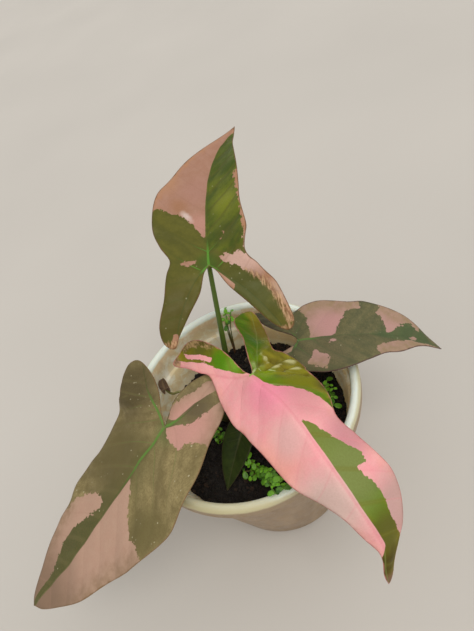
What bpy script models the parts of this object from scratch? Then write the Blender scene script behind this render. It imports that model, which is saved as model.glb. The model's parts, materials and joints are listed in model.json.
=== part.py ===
"""An arrowhead plant with four lobed, variegated leaves, growing in a small white plastic pot.

The named sizes are in millimetres and degrees, and MM turns them into metres.
The origin is the centre of the pot's base, +Z is up and -Y is the front.
"""
import math
import random

import bmesh
import bpy
import numpy as np
from mathutils import Matrix, Vector
from mathutils.geometry import delaunay_2d_cdt

MM = 0.001
GAP = 0.3               # clearance between pieces that touch

# Pot
POT_HEIGHT = 80.0
BASE_RADIUS = 34.0
WALL_TOP_RADIUS = 47.2  # outer wall just under the rim band
RIM_RADIUS = 50.0
RIM_BAND = 6.0          # height of the rim band
LIP_ROUND = 2.0         # radius of the rolled lip
FLOOR = 3.0
LEDGE_HEIGHT = 67.0     # inside ledge that pots are stacked on
LEDGE_RADIUS = 43.8     # inner wall under the ledge
THROAT_RADIUS = 45.6    # inner wall over the ledge
FLOOR_RADIUS = 32.2
FOOT_ROUND = 2.2
POT_STEPS = 56
DRAINS = 6
DRAIN_RADIUS = 4.0
DRAIN_CIRCLE = 20.0

# Soil
SOIL_TOP = 55.0
SOIL_MOUND = 1.6        # the middle stands this much over the edge
SOIL_LUMP = 0.9
SOIL_RINGS = 7
SOIL_STEPS = 36
HOLE_DEPTH = 9.0        # plain holes that the stems stand in
HOLE_EASE = 1.06        # a hole's flat sides stay clear of the round stem
ROOT_DEPTH = 8.0

# Leaves
BLADE = 0.7             # thickness of a blade
GRID = 4.6              # spacing of the points inside a blade
MARGIN_STEP = 3.6       # spacing of the points along its margin
LOBE_REACH = 60.0       # the midline is worked out this far behind the petiole
LOBE_BEND = 12.0        # the lobes bend down over this length behind the petiole
SWING_REACH = 15.0      # the midline swings sideways over this length each way of the petiole
FOLD_BLEND = 0.12       # share of the length over which the two folds blend
RIB_ROUND = 2.0         # radius of the fold along the midrib
WAVE_WIDTH = 18.0       # distance from the midrib where a wave has its stated height
WAVE_SHIFT = 1.1        # the waves of the two halves are out of step by this angle each
NECK = 8.0              # length of the bend where the petiole turns up into the blade

LEAF_COLOURS = {
    "leaf_olive": (0.16, 0.155, 0.055),
    "leaf_pink": (0.75, 0.33, 0.33),
    "leaf_dark": (0.03, 0.055, 0.015),
    "leaf_brown": (0.12, 0.06, 0.03),
}

# foot: where the petiole leaves the soil.  via: a point it passes.  base: where it meets the blade.
# heading: 0 along +Y and 90 along +X.  rise and droop: pitch at the petiole, and its loss to the tip.
# fold: how far the left and the right half rise over the midrib.  wave: height, length and phase.
# main: margin from the tip to the waist.  lobe: on to the basal lobe's tip.  inner: back to the sinus.
# A margin point is (distance from the midrib, distance ahead of the petiole).
LEAVES = (
    dict(
        name="leaf_back", finish="leaf_olive", foot=(-4.5, 12.5), thick=(2.1, 1.15), via=(1.5, 13.0, 88.0),
        base=(11.5, 21.1, 130.0), length=80.0, heading=19.0, rise=9.0, droop=4.0, arch=1.0,
        curl=18.0, swing=0.0, roll=14.0, fold=(-2.0, 38.0), lobe_fold=(0.0, 6.0), lobe_drop=30.0,
        wave=(0.9, 26.0, 0.4),
        left=dict(main=((7, 69), (17, 53), (24.5, 35), (23.5, 22), (14.5, 4.5)),
                  lobe=((17, -7), (21.5, -20), (17.5, -29)), inner=((9, -18), (2, -5))),
        right=dict(main=((4.5, 68), (12, 42), (17.5, 19), (15, 1.5)),
                   lobe=((23, -9), (27, -23), (24, -30.5)), inner=((13.5, -20), (3, -4))),
    ),
    dict(
        name="leaf_right", finish="leaf_olive", foot=(2.5, 6.0), thick=(2.0, 1.1), via=(12.0, 6.0, 74.0),
        base=(31.7, 7.0, 83.8), length=68.5, heading=104.0, rise=1.0, droop=60.0, arch=1.3,
        curl=4.0, swing=0.0, roll=-7.0, fold=(9.0, 8.0), lobe_fold=(0.0, 0.0), lobe_drop=6.0,
        wave=(0.8, 24.0, 2.0),
        left=dict(main=((4.5, 58), (12, 45), (16.3, 31), (18.3, 14), (16, 0)),
                  lobe=((22, -6.5), (21, -11.5)), inner=((10, -6.5), (2, -2.5))),
        right=dict(main=((5, 57), (11.5, 42), (17, 27), (21.5, 11), (17, -2)),
                   lobe=((19, -10), (15, -18)), inner=((8, -12), (2.5, -4))),
    ),
    dict(
        name="leaf_left", finish="leaf_olive", foot=(-11.5, 4.5), thick=(2.0, 1.15), via=(-18.0, 0.0, 74.0),
        base=(-31.3, -8.2, 90.3), length=89.0, heading=-110.0, rise=-13.0, droop=14.0, arch=1.0,
        curl=-2.0, swing=-30.0, roll=0.0, fold=(7.0, -8.0), lobe_fold=(-4.0, 0.0), lobe_drop=3.0,
        wave=(0.9, 28.0, 1.0),
        left=dict(main=((8, 78), (20.5, 60), (30.5, 36), (31, 20), (22, -2)),
                  lobe=((20.5, -13), (20, -23), (14, -30)), inner=((6, -21), (1.5, -7))),
        right=dict(main=((8.5, 76), (20.5, 48), (23, 31), (28.5, 12), (28.5, -4)),
                   lobe=((29, -16), (25, -25.5)), inner=((14, -19.5), (3.5, -4))),
    ),
    dict(
        name="leaf_front", finish="leaf_pink", foot=(-3.5, -1.0), thick=(2.2, 1.3), via=(2.0, -5.0, 80.0),
        base=(8.6, -12.9, 103.0), length=99.0, heading=164.0, rise=22.0, droop=111.0, arch=1.0,
        curl=13.0, swing=0.0, roll=-2.0, fold=(-28.0, -38.0), lobe_fold=(-36.0, -30.0),
        lobe_drop=-26.0, wave=(0.7, 22.0, 0.0),
        left=dict(main=((8, 84), (18, 72.5), (20.5, 60), (16, 33), (20.5, 18), (24.5, -4), (19.5, -12)),
                  lobe=((25.5, -25), (28.5, -39.5)), inner=((15.5, -35), (5.5, -12))),
        right=dict(main=((2.5, 86), (5.5, 66), (13.5, 49), (17.5, 33), (19.4, 15), (17.5, -3), (12.5, -16)),
                   lobe=((15.5, -25), (19.5, -35)), inner=((9, -35.5), (3, -23), (1.2, -9))),
    ),
    dict(
        name="leaf_low", finish="leaf_dark", foot=(-8.0, -1.5), thick=(1.3, 0.8), via=(-7.0, -5.0, 66.0),
        base=(-3.5, -12.0, 73.0), length=28.0, heading=-132.0, rise=-22.0, droop=16.0, arch=1.0,
        curl=0.0, swing=0.0, roll=0.0, fold=(14.0, 10.0), lobe_fold=(4.0, 4.0), lobe_drop=10.0,
        wave=(0.3, 14.0, 0.0),
        left=dict(main=((4, 19), (6.5, 9), (6, 0)), lobe=((4.5, -6),), inner=((1.2, -2.5),)),
        right=dict(main=((4.5, 19), (7, 9), (6.5, 0)), lobe=((4.5, -6),), inner=((1.2, -2.5),)),
    ),
    dict(
        name="leaf_withered", finish="leaf_brown", foot=(-9.5, 9.5), thick=(1.0, 0.55),
        via=(-21.0, 16.0, 69.0), base=(-30.0, 22.5, 73.5), length=12.0, heading=-14.0, rise=-8.0,
        droop=30.0, arch=1.0, curl=20.0, swing=0.0, roll=10.0, fold=(30.0, 30.0),
        lobe_fold=(20.0, 20.0), lobe_drop=0.0,
        wave=(0.3, 6.0, 0.0),
        left=dict(main=((2.4, 8), (3.4, 3), (2.8, -1)), lobe=((1.8, -3),), inner=((0.6, -1.2),)),
        right=dict(main=((2.2, 8), (3.2, 3), (2.6, -1)), lobe=((1.8, -3),), inner=((0.6, -1.2),)),
    ),
)

# The short stem that the petioles stand round
STEM_FOOT = (-5.0, 6.0)
STEM_TOP = 63.0
STEM_RADII = (3.2, 2.9, 2.3, 1.2)

# Weeds: root, and for each stem its end and its number of leaf pairs
WEED_STEM = 0.55
WEED_ROOT = 1.1
WEED_LEAF = 2.0         # radius of a leaflet
WEED_SIDES = 8
LEAFLET_LEAN = 0.45     # outward slope of a leaflet
LEAFLET_REACH = 0.72    # its centre stands this share of its radius off the stem
BARE_STEM = 0.42        # share of a stem that carries no leaflet
WEEDS = (
    dict(name="weed_front", seed=7, root=(-6.0, -24.0), stems=(
        ((-10.0, -31.0, 68.0), 3), ((-4.0, -34.0, 70.0), 4), ((1.0, -32.0, 72.0), 3),
        ((-1.5, -43.5, 82.5), 4), ((2.5, -42.5, 82.0), 3), ((-9.5, -22.0, 65.0), 2))),
    dict(name="weed_right", seed=8, root=(31.0, -6.0), stems=(
        ((36.0, -8.0, 68.0), 3), ((34.0, -14.0, 66.0), 3), ((29.0, -14.0, 63.0), 2))),
    dict(name="weed_back", seed=11, root=(6.0, 33.0), stems=(
        ((9.0, 41.0, 84.0), 4), ((7.5, 40.5, 73.0), 3))),
    dict(name="weed_left", seed=3, root=(-17.0, -7.0), stems=(
        ((-16.0, -10.0, 68.0), 3), ((-20.0, -12.0, 64.0), 2))),
)
WEED_GREEN = (0.10, 0.33, 0.025)


def start_clean():
    """Remove what the file holds, so that only this model is in it."""
    for item in list(bpy.data.objects):
        bpy.data.objects.remove(item, do_unlink=True)


def collection(name):
    group = bpy.data.collections.new(name)
    bpy.context.scene.collection.children.link(group)
    return group


def material(name, colour, roughness, metallic=0.0):
    made = bpy.data.materials.new(name)
    made.use_nodes = True
    shader = made.node_tree.nodes["Principled BSDF"]
    shader.inputs["Base Color"].default_value = (*colour, 1.0)
    shader.inputs["Roughness"].default_value = roughness
    shader.inputs["Metallic"].default_value = metallic
    made.diffuse_color = (*colour, 1.0)
    return made


def new_object(name, mesh, group, finish=None):
    made = bpy.data.objects.new(name, mesh)
    group.objects.link(made)
    if finish is not None:
        mesh.materials.clear()
        mesh.materials.append(finish)
    return made


def evaluated_mesh(source):
    """The mesh that an object's modifiers or its curve give."""
    bpy.context.view_layer.update()
    graph = bpy.context.evaluated_depsgraph_get()
    return bpy.data.meshes.new_from_object(source.evaluated_get(graph), depsgraph=graph)


def apply_modifiers(item):
    mesh = evaluated_mesh(item)
    item.modifiers.clear()
    item.data = mesh


def smoothstep(low, high, value):
    part = np.clip((value - low) / (high - low), 0.0, 1.0)
    return part * part * (3.0 - 2.0 * part)


def smooth_line(points, step):
    """A Catmull-Rom curve through the points, read off about every step."""
    points = [np.array(point, float) for point in points]
    ends = [2 * points[0] - points[1], *points, 2 * points[-1] - points[-2]]
    line = []
    for before, start, end, after in zip(ends, ends[1:], ends[2:], ends[3:]):
        count = max(1, round(float(np.linalg.norm(end - start)) / step))
        for index in range(count):
            part = index / count
            line.append(0.5 * (2 * start + (end - before) * part
                               + (2 * before - 5 * start + 4 * end - after) * part ** 2
                               + (3 * start - before - 3 * end + after) * part ** 3))
    line.append(points[-1])
    return line


def tube(name, path, radii, group, finish, sides=2):
    """A closed mesh tube along a path in millimetres, with a radius at each of its points."""
    curve = bpy.data.curves.new(name, "CURVE")
    curve.dimensions = "3D"
    curve.bevel_depth = MM
    curve.bevel_resolution = sides
    curve.use_fill_caps = True
    spline = curve.splines.new("POLY")
    spline.points.add(len(path) - 1)
    for point, place, radius in zip(spline.points, path, radii):
        point.co = (place[0] * MM, place[1] * MM, place[2] * MM, 1.0)
        point.radius = radius
    guide = new_object(name + "_guide", curve, group)
    mesh = evaluated_mesh(guide)
    bpy.data.objects.remove(guide, do_unlink=True)
    shell = bmesh.new()
    shell.from_mesh(mesh)
    bmesh.ops.remove_doubles(shell, verts=shell.verts, dist=1e-6)
    bmesh.ops.recalc_face_normals(shell, faces=shell.faces)
    shell.to_mesh(mesh)
    shell.free()
    return new_object(name, mesh, group, finish)


def unite(target, others):
    """One Boolean union of the target with everything in others, which is then removed."""
    guides = collection(target.name + "_pieces")
    for item in others:
        for owner in list(item.users_collection):
            owner.objects.unlink(item)
        guides.objects.link(item)
    union = target.modifiers.new("union", "BOOLEAN")
    union.operation = "UNION"
    union.operand_type = "COLLECTION"
    union.collection = guides
    union.solver = "EXACT"
    union.use_self = True
    apply_modifiers(target)
    for item in others:
        bpy.data.objects.remove(item, do_unlink=True)
    bpy.data.collections.remove(guides)


def turned(name, profile, steps, group, finish):
    """A profile of (radius, height) points turned round the Z axis."""
    mesh = bpy.data.meshes.new(name)
    mesh.from_pydata([(radius * MM, 0.0, height * MM) for radius, height in profile],
                     [(index, index + 1) for index in range(len(profile) - 1)], [])
    made = new_object(name, mesh, group, finish)
    screw = made.modifiers.new("turn", "SCREW")
    screw.steps = steps
    screw.render_steps = steps
    screw.use_merge_vertices = True
    screw.merge_threshold = 1e-5
    return made


def inner_radius(height):
    """Inner wall of the pot under the ledge."""
    part = (height - FLOOR) / (LEDGE_HEIGHT - FLOOR)
    return FLOOR_RADIUS + (LEDGE_RADIUS - FLOOR_RADIUS) * part


def make_pot(group, cutters):
    """A thin tapered pot: floor, inner wall with its ledge, rolled lip, rim band and outer wall."""
    lip_centre = (RIM_RADIUS - LIP_ROUND, POT_HEIGHT - LIP_ROUND)
    lip = [(lip_centre[0] + LIP_ROUND * math.cos(angle), lip_centre[1] + LIP_ROUND * math.sin(angle))
           for angle in np.linspace(math.pi, 0.0, 7)]
    profile = [
        (0.0, FLOOR),
        (FLOOR_RADIUS, FLOOR),
        (LEDGE_RADIUS, LEDGE_HEIGHT - 1.0),
        (THROAT_RADIUS, LEDGE_HEIGHT),
        *lip,
        (RIM_RADIUS, POT_HEIGHT - RIM_BAND + 1.0),
        (RIM_RADIUS - 1.0, POT_HEIGHT - RIM_BAND),
        (WALL_TOP_RADIUS, POT_HEIGHT - RIM_BAND - GAP),
        (BASE_RADIUS, FOOT_ROUND),
        (BASE_RADIUS - 0.3 * FOOT_ROUND, 0.3 * FOOT_ROUND),
        (BASE_RADIUS - FOOT_ROUND, 0.0),
        (0.0, 0.0),
    ]
    pot = turned("pot", profile, POT_STEPS, group, material("pot_plastic", (0.72, 0.70, 0.64), 0.45))
    for index in range(DRAINS):
        angle = math.tau * index / DRAINS
        place = (DRAIN_CIRCLE * math.cos(angle), DRAIN_CIRCLE * math.sin(angle), FLOOR / 2)
        drill(pot, place, DRAIN_RADIUS, FLOOR * 3, cutters)
    return pot


def drill(item, place, radius, height, cutters):
    """Cut an upright round hole; the place is the hole's centre."""
    shell = bmesh.new()
    bmesh.ops.create_cone(shell, cap_ends=True, segments=12, radius1=radius * MM, radius2=radius * MM,
                          depth=height * MM)
    mesh = bpy.data.meshes.new("hole")
    shell.to_mesh(mesh)
    shell.free()
    cutter = new_object("hole", mesh, cutters)
    cutter.location = Vector(place) * MM
    cutter.hide_render = True
    cutter.display_type = "WIRE"
    cut = item.modifiers.new("hole", "BOOLEAN")
    cut.operation = "DIFFERENCE"
    cut.object = cutter


def soil_height(x, y):
    """The low lumps of the potting mix, fading out at the wall."""
    edge = inner_radius(SOIL_TOP)
    reach = min(1.0, math.hypot(x, y) / edge)
    lumps = (math.sin(0.42 * x + 0.6) * math.cos(0.37 * y) + 0.6 * math.sin(0.81 * y - 0.5 * x + 2.0)
             + 0.4 * math.cos(1.1 * x + 0.7 * y))
    return SOIL_TOP + SOIL_MOUND * (1.0 - reach ** 2) + SOIL_LUMP * lumps * 0.5 * (1.0 - reach ** 4)


def make_soil(group, cutters):
    """The root ball fills the pot to well under the ledge; its top is a low lumpy mound."""
    edge = inner_radius(SOIL_TOP) - GAP
    rings = [(edge * ring / SOIL_RINGS, SOIL_TOP) for ring in range(SOIL_RINGS + 1)]
    bottom = FLOOR + GAP
    profile = [*rings, (inner_radius(bottom) - GAP, bottom), (0.0, bottom)]
    soil = turned("soil", profile, SOIL_STEPS, group, material("potting_soil", (0.012, 0.009, 0.007), 0.95))
    apply_modifiers(soil)
    for vertex in soil.data.vertices:
        x, y, z = vertex.co / MM
        if z > SOIL_TOP - 1.0:
            vertex.co.z = soil_height(x, y) * MM
    holes = [(leaf["foot"], leaf["thick"][0] + GAP) for leaf in LEAVES]
    holes.append((STEM_FOOT, STEM_RADII[0] + GAP))
    holes += [(weed["root"], WEED_ROOT + GAP) for weed in WEEDS]
    for foot, radius in holes:
        drill(soil, (*foot, SOIL_TOP), radius * HOLE_EASE, 2 * HOLE_DEPTH, cutters)
    return soil


def midline(leaf, along):
    """Frame of the blade at each distance along: point, side and normal directions.

    The line runs on behind the petiole, where it bends to lead the basal lobes.
    """
    stations = np.unique(np.append(np.arange(-LOBE_REACH, 1.1 * leaf["length"], 1.5), 0.0))

    def headings(value):
        part = np.clip(value, 0.0, None) / leaf["length"]
        pitch = leaf["rise"] - leaf["droop"] * part ** leaf["arch"]
        pitch = pitch + leaf["lobe_drop"] * smoothstep(0.0, LOBE_BEND, -value)
        turn = leaf["heading"] + leaf["curl"] * part
        turn = turn + leaf["swing"] * (1.0 - smoothstep(-SWING_REACH, SWING_REACH, value))
        pitch, turn = np.radians(pitch), np.radians(turn)
        forward = np.stack([np.sin(turn) * np.cos(pitch), np.cos(turn) * np.cos(pitch), np.sin(pitch)], 1)
        return forward, np.stack([np.cos(turn), -np.sin(turn), 0.0 * turn], 1)

    forward, _ = headings(stations)
    steps = (forward[1:] + forward[:-1]) / 2 * np.diff(stations)[:, None]
    places = np.vstack([np.zeros(3), np.cumsum(steps, 0)])
    places = places - places[np.searchsorted(stations, 0.0)]
    point = np.stack([np.interp(along, stations, places[:, axis]) for axis in range(3)], 1)
    forward, side = headings(along)
    up = np.cross(side, forward)
    roll = math.radians(leaf["roll"])
    across = side * math.cos(roll) - up * math.sin(roll)
    normal = up * math.cos(roll) + side * math.sin(roll)
    return point + np.array(leaf["base"]), across, normal


def blade_surface(leaf, flat):
    """Lay flat leaf points (across, along) on the bent, folded and waved blade."""
    x, y = flat[:, 0], flat[:, 1]
    point, across, normal = midline(leaf, y)
    blend = FOLD_BLEND * leaf["length"]
    main = smoothstep(-blend, blend, y)
    left = leaf["lobe_fold"][0] * (1.0 - main) + leaf["fold"][0] * main
    right = leaf["lobe_fold"][1] * (1.0 - main) + leaf["fold"][1] * main
    angle = np.radians(np.where(x > 0.0, right, left))
    lift = np.sin(angle) * (np.sqrt(x * x + RIB_ROUND ** 2) - RIB_ROUND)
    height, length, phase = leaf["wave"]
    shift = np.where(x > 0.0, WAVE_SHIFT, -WAVE_SHIFT)
    lift = lift + height * (x / WAVE_WIDTH) ** 2 * np.sin(math.tau * y / length + phase + shift)
    return point + across * (x * np.cos(angle))[:, None] + normal * lift[:, None]


def half_margin(leaf, side):
    """One half of the outline from the tip round the basal lobe to the sinus."""
    half = leaf[side]
    sign = 1.0 if side == "right" else -1.0
    tip = (0.0, leaf["length"])
    lobe_tip = half["lobe"][-1]
    outer = smooth_line([tip, *half["main"], *half["lobe"]], MARGIN_STEP)
    inner = smooth_line([lobe_tip, *half["inner"], (0.0, 0.0)], MARGIN_STEP)
    return [(sign * x, y) for x, y in outer + inner[1:]]


def inside(point, outline):
    hit = False
    for (ax, ay), (bx, by) in zip(outline, outline[1:] + outline[:1]):
        if (ay > point[1]) != (by > point[1]):
            if point[0] < ax + (bx - ax) * (point[1] - ay) / (by - ay):
                hit = not hit
    return hit


def flat_blade(leaf, grid):
    """The outline filled with a grid of points and cut into triangles, in flat leaf coordinates."""
    outline = half_margin(leaf, "right") + half_margin(leaf, "left")[-2:0:-1]
    edges = [(index, (index + 1) % len(outline)) for index in range(len(outline))]
    border = np.array(outline)
    points = list(outline)
    reach = int(45.0 / grid)
    for row in range(-reach, int(leaf["length"] / grid)):
        for column in range(-reach, reach + 1):
            point = (column * grid, row * grid)
            clear = np.min(np.hypot(*(border - point).T))
            if clear > 0.5 * grid and inside(point, outline):
                points.append(point)
    made = delaunay_2d_cdt([Vector(point) for point in points], edges, [], 1, 1e-4)
    return np.array([tuple(point) for point in made[0]]), [tuple(face) for face in made[2]]


def make_leaf(leaf, group, finish):
    """A thin blade with its petiole grown on under the sinus."""
    flat, faces = flat_blade(leaf, min(GRID, leaf["length"] / 7.0))
    mesh = bpy.data.meshes.new(leaf["name"])
    mesh.from_pydata([tuple(place * MM) for place in blade_surface(leaf, flat)], [], faces)
    mesh.update()
    blade = new_object(leaf["name"], mesh, group, finish)
    thicken = blade.modifiers.new("thickness", "SOLIDIFY")
    thicken.thickness = BLADE * MM
    thicken.offset = 0.0
    apply_modifiers(blade)
    path, radii = petiole_path(leaf)
    petiole = tube(leaf["name"] + "_petiole", path, radii, group, finish)
    unite(blade, [petiole])
    return blade


def petiole_path(leaf):
    """From its hole in the soil, out on one sweep and with a bend up into the blade."""
    point, _, normal = midline(leaf, np.array([0.6]))
    top = Vector(point[0])
    arriving = (Vector(leaf["via"]) - top).normalized()
    below = top + (arriving - Vector(normal[0])).normalized() * min(NECK, 0.4 * leaf["length"])
    foot = Vector((*leaf["foot"], SOIL_TOP - ROOT_DEPTH))
    collar = Vector((*leaf["foot"], SOIL_TOP + 3.0))
    path = [foot] + smooth_line([collar, Vector(leaf["via"]), below, top], 4.0)
    wide, slim = leaf["thick"]
    parts = np.linspace(0.0, 1.0, len(path))
    return path, [slim + (wide - slim) * (1.0 - part) ** 1.5 for part in parts]


def make_stem(group):
    """The short upright stem in the middle of the petioles."""
    heights = np.linspace(SOIL_TOP - ROOT_DEPTH, STEM_TOP, len(STEM_RADII))
    path = [(*STEM_FOOT, height) for height in heights]
    return tube("stem", path, STEM_RADII, group, material("stem_green", (0.09, 0.16, 0.03), 0.5), 3)


def leaflet(name, centre, outward, radius, group, finish):
    """A small round leaflet: a thin domed disc that leans outwards."""
    shell = bmesh.new()
    bmesh.ops.create_cone(shell, cap_ends=True, segments=WEED_SIDES, radius1=radius * MM,
                          radius2=radius * 0.86 * MM, depth=BLADE * MM)
    mesh = bpy.data.meshes.new(name)
    shell.to_mesh(mesh)
    shell.free()
    made = new_object(name, mesh, group, finish)
    normal = Vector((outward.x * LEAFLET_LEAN, outward.y * LEAFLET_LEAN, 1.0)).normalized()
    turn = normal.to_track_quat("Z", "Y").to_matrix().to_4x4()
    made.matrix_world = Matrix.Translation(centre * MM) @ turn
    return made


def make_weed(weed, group, finish):
    """Thin stems that part at the soil, each with pairs of round leaflets and one at its end."""
    draw = random.Random(weed["seed"])
    root = Vector((*weed["root"], SOIL_TOP - ROOT_DEPTH * 0.5))
    neck = Vector((*weed["root"], SOIL_TOP + 2.0))
    pieces = [tube(weed["name"], [root, neck], [WEED_ROOT, WEED_ROOT * 0.8], group, finish, 1)]
    for number, (end, pairs) in enumerate(weed["stems"]):
        end = Vector(end)
        toward = (end - neck).normalized()
        start = neck - Vector((0.0, 0.0, 0.8 + 0.17 * number)) + Vector((toward.x, toward.y, 0.0)) * 0.3
        middle = neck.lerp(end, 0.5) + Vector((0.0, 0.0, 0.12 * (end - neck).length))
        path = smooth_line([start, middle, end], 4.0)
        pieces.append(tube(f"{weed['name']}_stem_{number}", path, [WEED_STEM] * len(path), group, finish, 1))
        line = smooth_line([start, middle, end], 0.5)
        for pair in range(pairs):
            place = Vector(line[int((len(line) - 1) * (BARE_STEM + (1.0 - BARE_STEM) * (pair + 1) / pairs))])
            turn = draw.uniform(0.0, math.tau)
            for half in (0.0, math.pi):
                if pair == pairs - 1 and half > 0.0:
                    continue
                out = Vector((math.cos(turn + half), math.sin(turn + half), 0.0))
                radius = WEED_LEAF * draw.uniform(0.75, 1.1)
                centre = place + (out - Vector((0.0, 0.0, LEAFLET_LEAN))) * radius * LEAFLET_REACH
                name = f"{weed['name']}_leaflet_{number}_{pair}_{int(half)}"
                pieces.append(leaflet(name, centre, out, radius, group, finish))
    unite(pieces[0], pieces[1:])
    return pieces[0]


def main():
    start_clean()
    plant = collection("arrowhead_plant")
    cutters = collection("cutters")
    make_pot(plant, cutters)
    make_soil(plant, cutters)
    make_stem(plant)
    finishes = {name: material(name, colour, 0.5) for name, colour in LEAF_COLOURS.items()}
    for leaf in LEAVES:
        make_leaf(leaf, plant, finishes[leaf["finish"]])
    weed_finish = material("weed_green", WEED_GREEN, 0.5)
    for weed in WEEDS:
        make_weed(weed, plant, weed_finish)
    for item in plant.objects:
        item.data.shade_smooth()
        item.data.set_sharp_from_angle(angle=math.radians(50.0))


main()
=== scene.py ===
# %% [markdown]
# # An arrowhead plant in a small white pot
#
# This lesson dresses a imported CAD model: thin three-lobed leaves in pink, tan and green, slim petioles,
# weeds with small oval leaflets, dark crumbly soil and a stained plastic pot.
# The CAD model is loaded first and stays fixed. Every finer piece is made in the same frame,
# in millimetres that are turned into metres at the last moment.

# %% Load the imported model
import json
import math

import bmesh
import bpy
import numpy as np
from mathutils import Matrix, Vector
from mathutils.geometry import delaunay_2d_cdt

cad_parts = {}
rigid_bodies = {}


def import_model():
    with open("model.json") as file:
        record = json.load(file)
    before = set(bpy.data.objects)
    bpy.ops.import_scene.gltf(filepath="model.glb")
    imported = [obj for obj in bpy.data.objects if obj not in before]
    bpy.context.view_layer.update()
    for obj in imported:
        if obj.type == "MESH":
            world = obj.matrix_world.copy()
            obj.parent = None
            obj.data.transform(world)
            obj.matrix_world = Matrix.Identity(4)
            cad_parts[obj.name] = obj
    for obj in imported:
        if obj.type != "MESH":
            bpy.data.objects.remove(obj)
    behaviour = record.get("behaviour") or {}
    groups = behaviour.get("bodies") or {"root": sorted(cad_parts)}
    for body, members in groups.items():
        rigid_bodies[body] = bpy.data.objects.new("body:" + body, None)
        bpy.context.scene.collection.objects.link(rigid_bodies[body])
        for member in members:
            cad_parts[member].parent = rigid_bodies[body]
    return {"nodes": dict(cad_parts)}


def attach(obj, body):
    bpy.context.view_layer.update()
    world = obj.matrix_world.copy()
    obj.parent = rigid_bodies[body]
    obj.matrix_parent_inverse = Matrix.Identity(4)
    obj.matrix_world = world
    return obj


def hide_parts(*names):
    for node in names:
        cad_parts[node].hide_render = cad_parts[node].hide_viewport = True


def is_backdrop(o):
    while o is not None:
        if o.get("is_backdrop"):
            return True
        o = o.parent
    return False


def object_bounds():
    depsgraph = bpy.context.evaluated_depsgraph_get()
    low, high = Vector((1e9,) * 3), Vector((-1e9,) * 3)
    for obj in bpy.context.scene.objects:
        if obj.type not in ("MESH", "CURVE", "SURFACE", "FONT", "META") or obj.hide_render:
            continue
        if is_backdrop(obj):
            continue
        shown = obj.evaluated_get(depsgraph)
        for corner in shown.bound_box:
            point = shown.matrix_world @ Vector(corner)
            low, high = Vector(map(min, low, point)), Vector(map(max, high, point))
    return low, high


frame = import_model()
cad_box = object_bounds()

MM = 0.001
print("nodes:", ", ".join(sorted(frame["nodes"])))

# %% [markdown]
# ## Camera
#
# The photograph looks down on the rim at about 47 degrees, a little tilted to one side.
# The rim's ellipse gives the camera's place and its roll. Three directions at right angles, to the
# right, up and ahead, are the columns of the camera's turn.


# %% Camera
def new_object(name, data):
    """An object in the scene that shows a mesh, a curve, a camera or a lamp."""
    made = bpy.data.objects.new(name, data)
    bpy.context.scene.collection.objects.link(made)
    return made


bpy.context.scene.view_settings.view_transform = "Standard"
EYE = Vector((13.0, -118.8, 246.9)) * MM
RIGHT = Vector((0.903, -0.311, -0.295)).normalized()
AHEAD = Vector((0.0, 0.687, -0.726)).normalized()
UP = RIGHT.cross(AHEAD).normalized()
RIGHT = AHEAD.cross(UP)

lens = bpy.data.cameras.new("camera")
lens.sensor_fit = "AUTO"
lens.sensor_width = 36.0
lens.lens = 27.67
lens.clip_start = 0.01
camera = new_object("camera", lens)
camera.matrix_world = Matrix.Translation(EYE) @ Matrix((RIGHT, UP, -AHEAD)).transposed().to_4x4()
bpy.context.scene.camera = camera
print("camera stands", round(EYE.length, 3), "m from the pot's foot")

# %% [markdown]
# ## Finishes as formulas
#
# A finish is a web of shader nodes, and in node calls even a short formula fills a page. A small class
# stands for one output and answers to the usual signs, so a mask or a colour is written as maths.
# It makes the same nodes that a maker would lay out one by one in the shader editor.


# %% Sums with sockets
class Wire:
    """An output socket that can be added, multiplied and so on; each sign adds a Math node."""

    def __init__(self, finish, socket):
        self.finish, self.socket = finish, socket

    def math(self, sign, *others):
        values = dict(enumerate((self, *others)))
        return self.finish.add("ShaderNodeMath", {"operation": sign}, values)

    def __add__(self, other):
        return self.math("ADD", other)

    def __sub__(self, other):
        return self.math("SUBTRACT", other)

    def __mul__(self, other):
        return self.math("MULTIPLY", other)

    def __truediv__(self, other):
        return self.math("DIVIDE", other)

    def __pow__(self, other):
        return self.math("POWER", other)

    def __rsub__(self, other):
        return self * -1.0 + other

    def __rtruediv__(self, other):
        return self ** -1.0 * other

    def __abs__(self):
        return self.math("ABSOLUTE")

    __radd__ = __add__
    __rmul__ = __mul__


print("a socket now answers to + - * / ** and abs")

# %% [markdown]
# A second class builds a material. One method adds any node: its settings are set first, then the
# values or links of its sockets. Noises, cells, ramps and mixes are short calls of that method.
# Colours go through a Mix node, because a Math node would turn them grey.


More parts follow.
